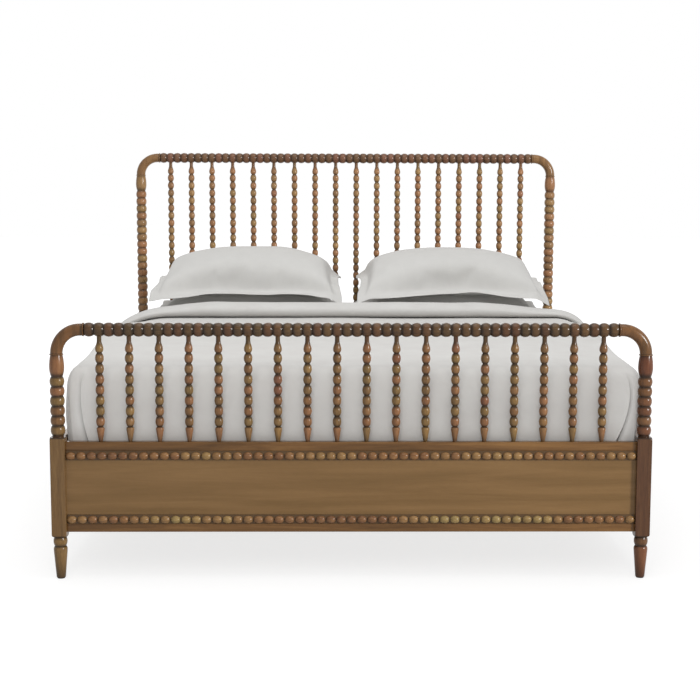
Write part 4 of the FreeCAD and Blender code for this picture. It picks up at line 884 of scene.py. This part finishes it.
for vert in roll.verts:
    across, back, up = vert.co
    nearest = min(across - FOLD_ENDS[0], FOLD_ENDS[1] - across)
    closing = math.sqrt(max(0, 1 - (1 - min(1, nearest / FOLD_CAP)) ** 2))
    thick = fold_height - FOLD_THIN * smooth(abs(across), THIN_FROM, THIN_TO)
    thick += FOLD_LUMPS * wander(across * 3.3, 4.1, 0.2) - FOLD_SETTLED
    deep = fold_depth * (1 + FOLD_UNEVEN * wander(across * 2.3, 1.7, 5.2))
    rounder = back * deep / 2 * (CAP_DEPTH + (1 - CAP_DEPTH) * closing)
    height = thick * (0.5 + 0.5 * up) * (CAP_HEIGHT + (1 - CAP_HEIGHT) * closing)
    height *= 1 - FOLD_SLUMP * smooth(back, SLUMP_FROM, 1)
    shift = FOLD_SHIFT * wander(across * 1.9, 8.3, 1.1)
    place, facing, _ = tucked(across, fold_y)
    place.y = fold_y + rounder + shift
    vert.co = place + facing * (height + FOLD_CLEAR)
    vert.co += facing * FOLD_WRINKLE * noise.noise(vert.co * 9)
fold = settle("comforter_fold", "roll", roll, COMFORTER_COTTON, "mattress", sharp=180)


def divide_once(piece):
    """Round a soft piece off with one level of subdivision."""
    finer = piece.modifiers.new("finer", "SUBSURF")
    finer.levels = finer.render_levels = 1


divide_once(fold)

# Pillows. Cotton covers with a flat border sewn all round, stuffed with down and stacked in pairs.
# The stuffing draws the seam in, so the border waves, and its free corners hang.
PILLOW_BORDER = 0.05
CLOTH_CELL = 0.017
COVER_GAP, COVER_CREASE, CREASE_PACE = 0.004, 0.003, 7
HEM_HALF = 0.0014
BORDER_WAVE, BORDER_EVEN = 0.35, 6
PILLOW_BASE = 0.006
STUFFING_FRAMES = 20
PILLOW_GROWTH = (1.05, 1.16)
PILLOW_WIDTH, PILLOW_PULL, PULL_FROM = 0.98, 0.035, 0.7
SLOPE_FROM = 0.25
ENDS_FROM, CORNERS_FROM, FRONT_FROM = 0.82, -0.1, 0.7
FRONT_SAG, SAG_FROM, SAG_TO = 0.022, 0.35, 0.72
LOWER = {"pressure": 1.4, "flat": 1.9, "slope": 0, "seam": 0.02, "crown": 0.9, "depth": 0.92, "drop": 0,
         "front": 0, "corners": (0, 0), "ears": 0}
UPPER = {"pressure": 1.6, "flat": 1.4, "slope": 0.36, "seam": 0.08, "depth": 1, "drop": 0.008, "ears": 0.05}
PILLOWS = {
    "pillow_lower_left": {**LOWER, "seed": 2.3, "aside": 0.032},
    "pillow_lower_right": {**LOWER, "seed": 5.9, "aside": -0.008},
    "pillow_upper_left": {**UPPER, "seed": 0.3, "aside": 0.032, "crown": 0.975, "front": 0.03,
                          "corners": (0.013, 0.033)},
    "pillow_upper_right": {**UPPER, "seed": 7.1, "aside": -0.008, "crown": 0.96, "front": 0.026,
                           "corners": (0.024, 0.036)},
}
PILLOW_COTTON = woven_cotton("percale_cotton_pillow", "d3d2cf", "cecdca")


def sewn_cover(width, depth, seed):
    """A flat cover of two layers, joined at the rim and tied along the border's seam.

    With it come the points that the stuffing fills, the pairs of points in the border, and the rows of
    points along the border's front edge.
    """
    cover = flat_cloth(width, depth, CLOTH_CELL)
    upper = cover.verts[:]
    copy = bmesh.ops.duplicate(cover, geom=upper + cover.edges[:] + cover.faces[:])
    below = {vert: copy["vert_map"][vert] for vert in upper}
    underside = [item for item in copy["geom"] if isinstance(item, bmesh.types.BMFace)]
    bmesh.ops.reverse_faces(cover, faces=underside)
    half_cell = 0.51 * CLOTH_CELL
    to_rim = {vert: min(width / 2 - abs(vert.co.x), depth / 2 - abs(vert.co.y)) for vert in upper}
    for vert in upper:
        for layer, way in ((vert, 1), (below[vert], -1)):
            if to_rim[vert] > TOUCH:
                crease = wander(vert.co.x * CREASE_PACE + seed, vert.co.y * CREASE_PACE, way * 1.7)
                layer.co.z = way * COVER_GAP / 2 + COVER_CREASE * crease
    core = [layer for vert in upper if to_rim[vert] > PILLOW_BORDER + 0.2 * CLOTH_CELL
            for layer in (vert, below[vert])]
    border = [vert for vert in upper if TOUCH < to_rim[vert] < PILLOW_BORDER + half_cell]
    rows = {}
    for vert in upper:
        if vert.co.y < PILLOW_BORDER + half_cell - depth / 2:
            for layer in {vert, below[vert] if to_rim[vert] > TOUCH else vert}:
                rows.setdefault((round(vert.co.y, 4), layer is vert), []).append((vert.co.x, layer))
    for vert in border:
        if abs(to_rim[vert] - PILLOW_BORDER) < half_cell:
            cover.edges.new((vert, below[vert]))
    bmesh.ops.weld_verts(cover, targetmap={below[vert]: vert for vert in upper if to_rim[vert] <= TOUCH})
    cover.verts.index_update()
    front = [[vert.index for x, vert in sorted(row, key=lambda item: item[0])] for row in rows.values()]
    return cover, [vert.index for vert in core], [(vert.index, below[vert].index) for vert in border], front


def stuffed(cover, core, pressure):
    """Blow the cover up with Blender's cloth, and return it at rest."""
    flat = as_mesh("cover", cover)
    bag = put("cover", flat)
    bag.vertex_groups.new(name="core").add(core, 1.0, "REPLACE")
    cloth = bag.modifiers.new("cloth", "CLOTH")
    cloth.settings.quality = 5
    cloth.settings.mass = 0.15
    cloth.settings.tension_stiffness = cloth.settings.compression_stiffness = 15
    cloth.settings.shear_stiffness = 5
    cloth.settings.bending_stiffness = 0.5
    cloth.settings.use_pressure = True
    cloth.settings.uniform_pressure_force = pressure
    cloth.settings.vertex_group_pressure = "core"
    cloth.settings.use_sewing_springs = True
    cloth.settings.effector_weights.gravity = 0
    cloth.collision_settings.use_collision = False
    cloth.point_cache.frame_start, cloth.point_cache.frame_end = 1, STUFFING_FRAMES
    for number in range(1, STUFFING_FRAMES + 1):
        scene.frame_set(number)
    full = bpy.data.meshes.new_from_object(bag.evaluated_get(bpy.context.evaluated_depsgraph_get()))
    scene.frame_set(1)
    cover = bmesh.new()
    cover.from_mesh(full)
    bpy.data.objects.remove(bag)
    bpy.data.meshes.remove(flat)
    bpy.data.meshes.remove(full)
    return cover


for label, make in PILLOWS.items():
    low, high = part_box(label)
    size, middle = high - low, (low + high) / 2
    width, depth = size.x * PILLOW_GROWTH[0], size.y * PILLOW_GROWTH[1]
    cover, core, border, front_rows = sewn_cover(width, depth, make["seed"])
    cover = stuffed(cover, core, make["pressure"])
    bmesh.ops.delete(cover, geom=[edge for edge in cover.edges if edge.is_wire], context="EDGES")
    cover.verts.ensure_lookup_table()
    reach_x = max(abs(vert.co.x) for vert in cover.verts)
    reach_y = max(abs(vert.co.y) for vert in cover.verts)
    crown, belly = max(vert.co.z for vert in cover.verts), -min(vert.co.z for vert in cover.verts)
    for above, under in border:
        points = cover.verts[above], cover.verts[under]
        between = (points[0].co + points[1].co) / 2
        between.z *= BORDER_WAVE
        points[0].co = between + Vector((0, 0, HEM_HALF))
        points[1].co = between - Vector((0, 0, HEM_HALF))
    for row in front_rows:
        spots = [cover.verts[index].co.copy() for index in row]
        for at, index in enumerate(row):
            near = spots[max(0, at - BORDER_EVEN):at + BORDER_EVEN + 1]
            even = sum(near, Vector()) / len(near)
            hold = smooth(min(at, len(row) - 1 - at), 1, BORDER_EVEN)
            cover.verts[index].co.yz = spots[at].yz.lerp(even.yz, hold)
    for vert in cover.verts:
        x, y, z = vert.co.x / reach_x, vert.co.y / reach_y, vert.co.z
        base = PILLOW_BASE + make["seam"] * (1 + y) / 2
        if z > 0:
            lift = (size.z * make["crown"] - base) * (1 - (1 - z / crown) ** make["flat"])
            lift = base + lift * (1 - make["slope"] * max(0, min(1, SLOPE_FROM - y)) ** 2)
        else:
            lift = base * (1 + z / belly)
        end = smooth(abs(x), ENDS_FROM, 1)
        lift -= end * make["corners"][x > 0] * smooth(-y, CORNERS_FROM, 1)
        lift -= end * make["ears"] * smooth(y, 0, 1)
        lift -= make["front"] * smooth(-y, FRONT_FROM, 1) + make["drop"]
        lift -= FRONT_SAG * (1 - x * x) * smooth(-y, SAG_FROM, SAG_TO)
        x *= PILLOW_WIDTH * (1 - PILLOW_PULL * smooth(abs(x), PULL_FROM, 1) * (1 - y * y))
        y = 1 - make["depth"] * (1 - y)
        vert.co = (middle.x + make["aside"] + x * size.x / 2, middle.y + y * size.y / 2, low.z + lift)
    pillow = settle(label, "stuffed", cover, PILLOW_COTTON, label, sharp=180)
    divide_once(pillow)

# Studio. A pale floor that runs out of sight, and the camera at the foot of the bed, higher than the
# footboard. Large lamps stand above and behind. One on the right reaches only the wood, to round the
# turnings, and one in front only the rest, so that the spindles throw no hard shadows on the cloth.
CAMERA_PLACE = (-0.0683, -5.5853, 1.3176)
CAMERA_PITCH, CAMERA_YAW, CAMERA_ROLL = math.radians(6.767), math.radians(0.778), math.radians(0.158)
CAMERA_LENS, CAMERA_SENSOR = 70.3, 36
camera = put("camera", bpy.data.cameras.new("camera"))
camera.data.lens = CAMERA_LENS
camera.data.sensor_width = CAMERA_SENSOR
camera.location = CAMERA_PLACE
facing = Matrix.Rotation(-CAMERA_YAW, 3, "Z") @ Matrix.Rotation(math.pi / 2 - CAMERA_PITCH, 3, "X")
camera.rotation_euler = (facing @ Matrix.Rotation(CAMERA_ROLL, 3, "Z")).to_euler()
scene.camera = camera


def shows_backdrop(tree):
    """1 for a ray that shows the white backdrop: the camera's own, or one by way of gloss or glass."""
    path = add(tree, "LightPath").outputs
    seen = add(tree, "Math", {0: path["Is Camera Ray"], 1: path["Is Glossy Ray"]}, operation="MAXIMUM")
    return add(tree, "Math", {0: seen.outputs[0], 1: path["Is Transmission Ray"]},
               operation="MAXIMUM").outputs[0]


FLOOR_HALF = 30
SHADE_REACH, CLEAR_REACH = 1.7, 3.4
SHADE_GLOW, CLEAR_GLOW = 0.77, 1.0
floor_form = bmesh.new()
bmesh.ops.create_grid(floor_form, x_segments=1, y_segments=1, size=FLOOR_HALF)
floor = put("floor", as_mesh("floor", floor_form))
floor_material = bpy.data.materials.new("studio_floor")
tree = blank_tree(floor_material)
place = add(tree, "TexCoord").outputs["Object"]
away = add(tree, "VectorMath", {0: place}, operation="LENGTH").outputs["Value"]
glow = remap(tree, away, (SHADE_REACH, CLEAR_REACH), (SHADE_GLOW, CLEAR_GLOW),
             interpolation_type="SMOOTHSTEP")
paper = add(tree, "BsdfDiffuse", {"Color": linear("e6e6e6")}).outputs[0]
shade = add(tree, "BsdfDiffuse", {"Color": linear("959595")}).outputs[0]
lift = add(tree, "Emission", {"Color": linear("ffffff"), "Strength": glow}).outputs[0]
both = add(tree, "AddShader", {0: shade, 1: lift}).outputs[0]
mixed = add(tree, "MixShader", {0: shows_backdrop(tree), 1: paper, 2: both}).outputs[0]
add(tree, "OutputMaterial", {"Surface": mixed})
floor.data.materials.append(floor_material)

WORLD_LIGHT, WORLD_SEEN = 0.5, 1.0
world = bpy.data.worlds.new("studio")
scene.world = world
tree = blank_tree(world)
strength = remap(tree, shows_backdrop(tree), (0, 1), (WORLD_LIGHT, WORLD_SEEN))
sky = add(tree, "Background", {"Color": linear("ffffff"), "Strength": strength}).outputs[0]
add(tree, "OutputWorld", {"Surface": sky})

linens = bpy.data.collections.new("linens")
linens.children.link(timber)
linens.collection_children[0].light_linking.link_state = "EXCLUDE"
LIGHTS = {
    "key": {"place": (0.2, -1.4, 5.2), "size": 4.0, "power": 90, "reaches": None},
    "fill": {"place": (-0.2, -5.8, 4.4), "size": 3.2, "power": 126, "reaches": linens},
    "back": {"place": (-1.4, 7.0, 4.2), "size": 4.0, "power": 75, "reaches": None},
    "side": {"place": (7.8, -6.4, 3.4), "size": 1.7, "power": 770, "reaches": timber},
}
AIM = Vector((0, -0.6, 0.6))
for name, setting in LIGHTS.items():
    lamp = bpy.data.lights.new(name, "AREA")
    lamp.energy = setting["power"]
    lamp.size = setting["size"]
    light = put(name, lamp)
    light.location = setting["place"]
    light.rotation_euler = (AIM - light.location).to_track_quat("-Z", "Y").to_euler()
    if setting["reaches"]:
        light.light_linking.receiver_collection = setting["reaches"]
scene.view_settings.view_transform = "Standard"
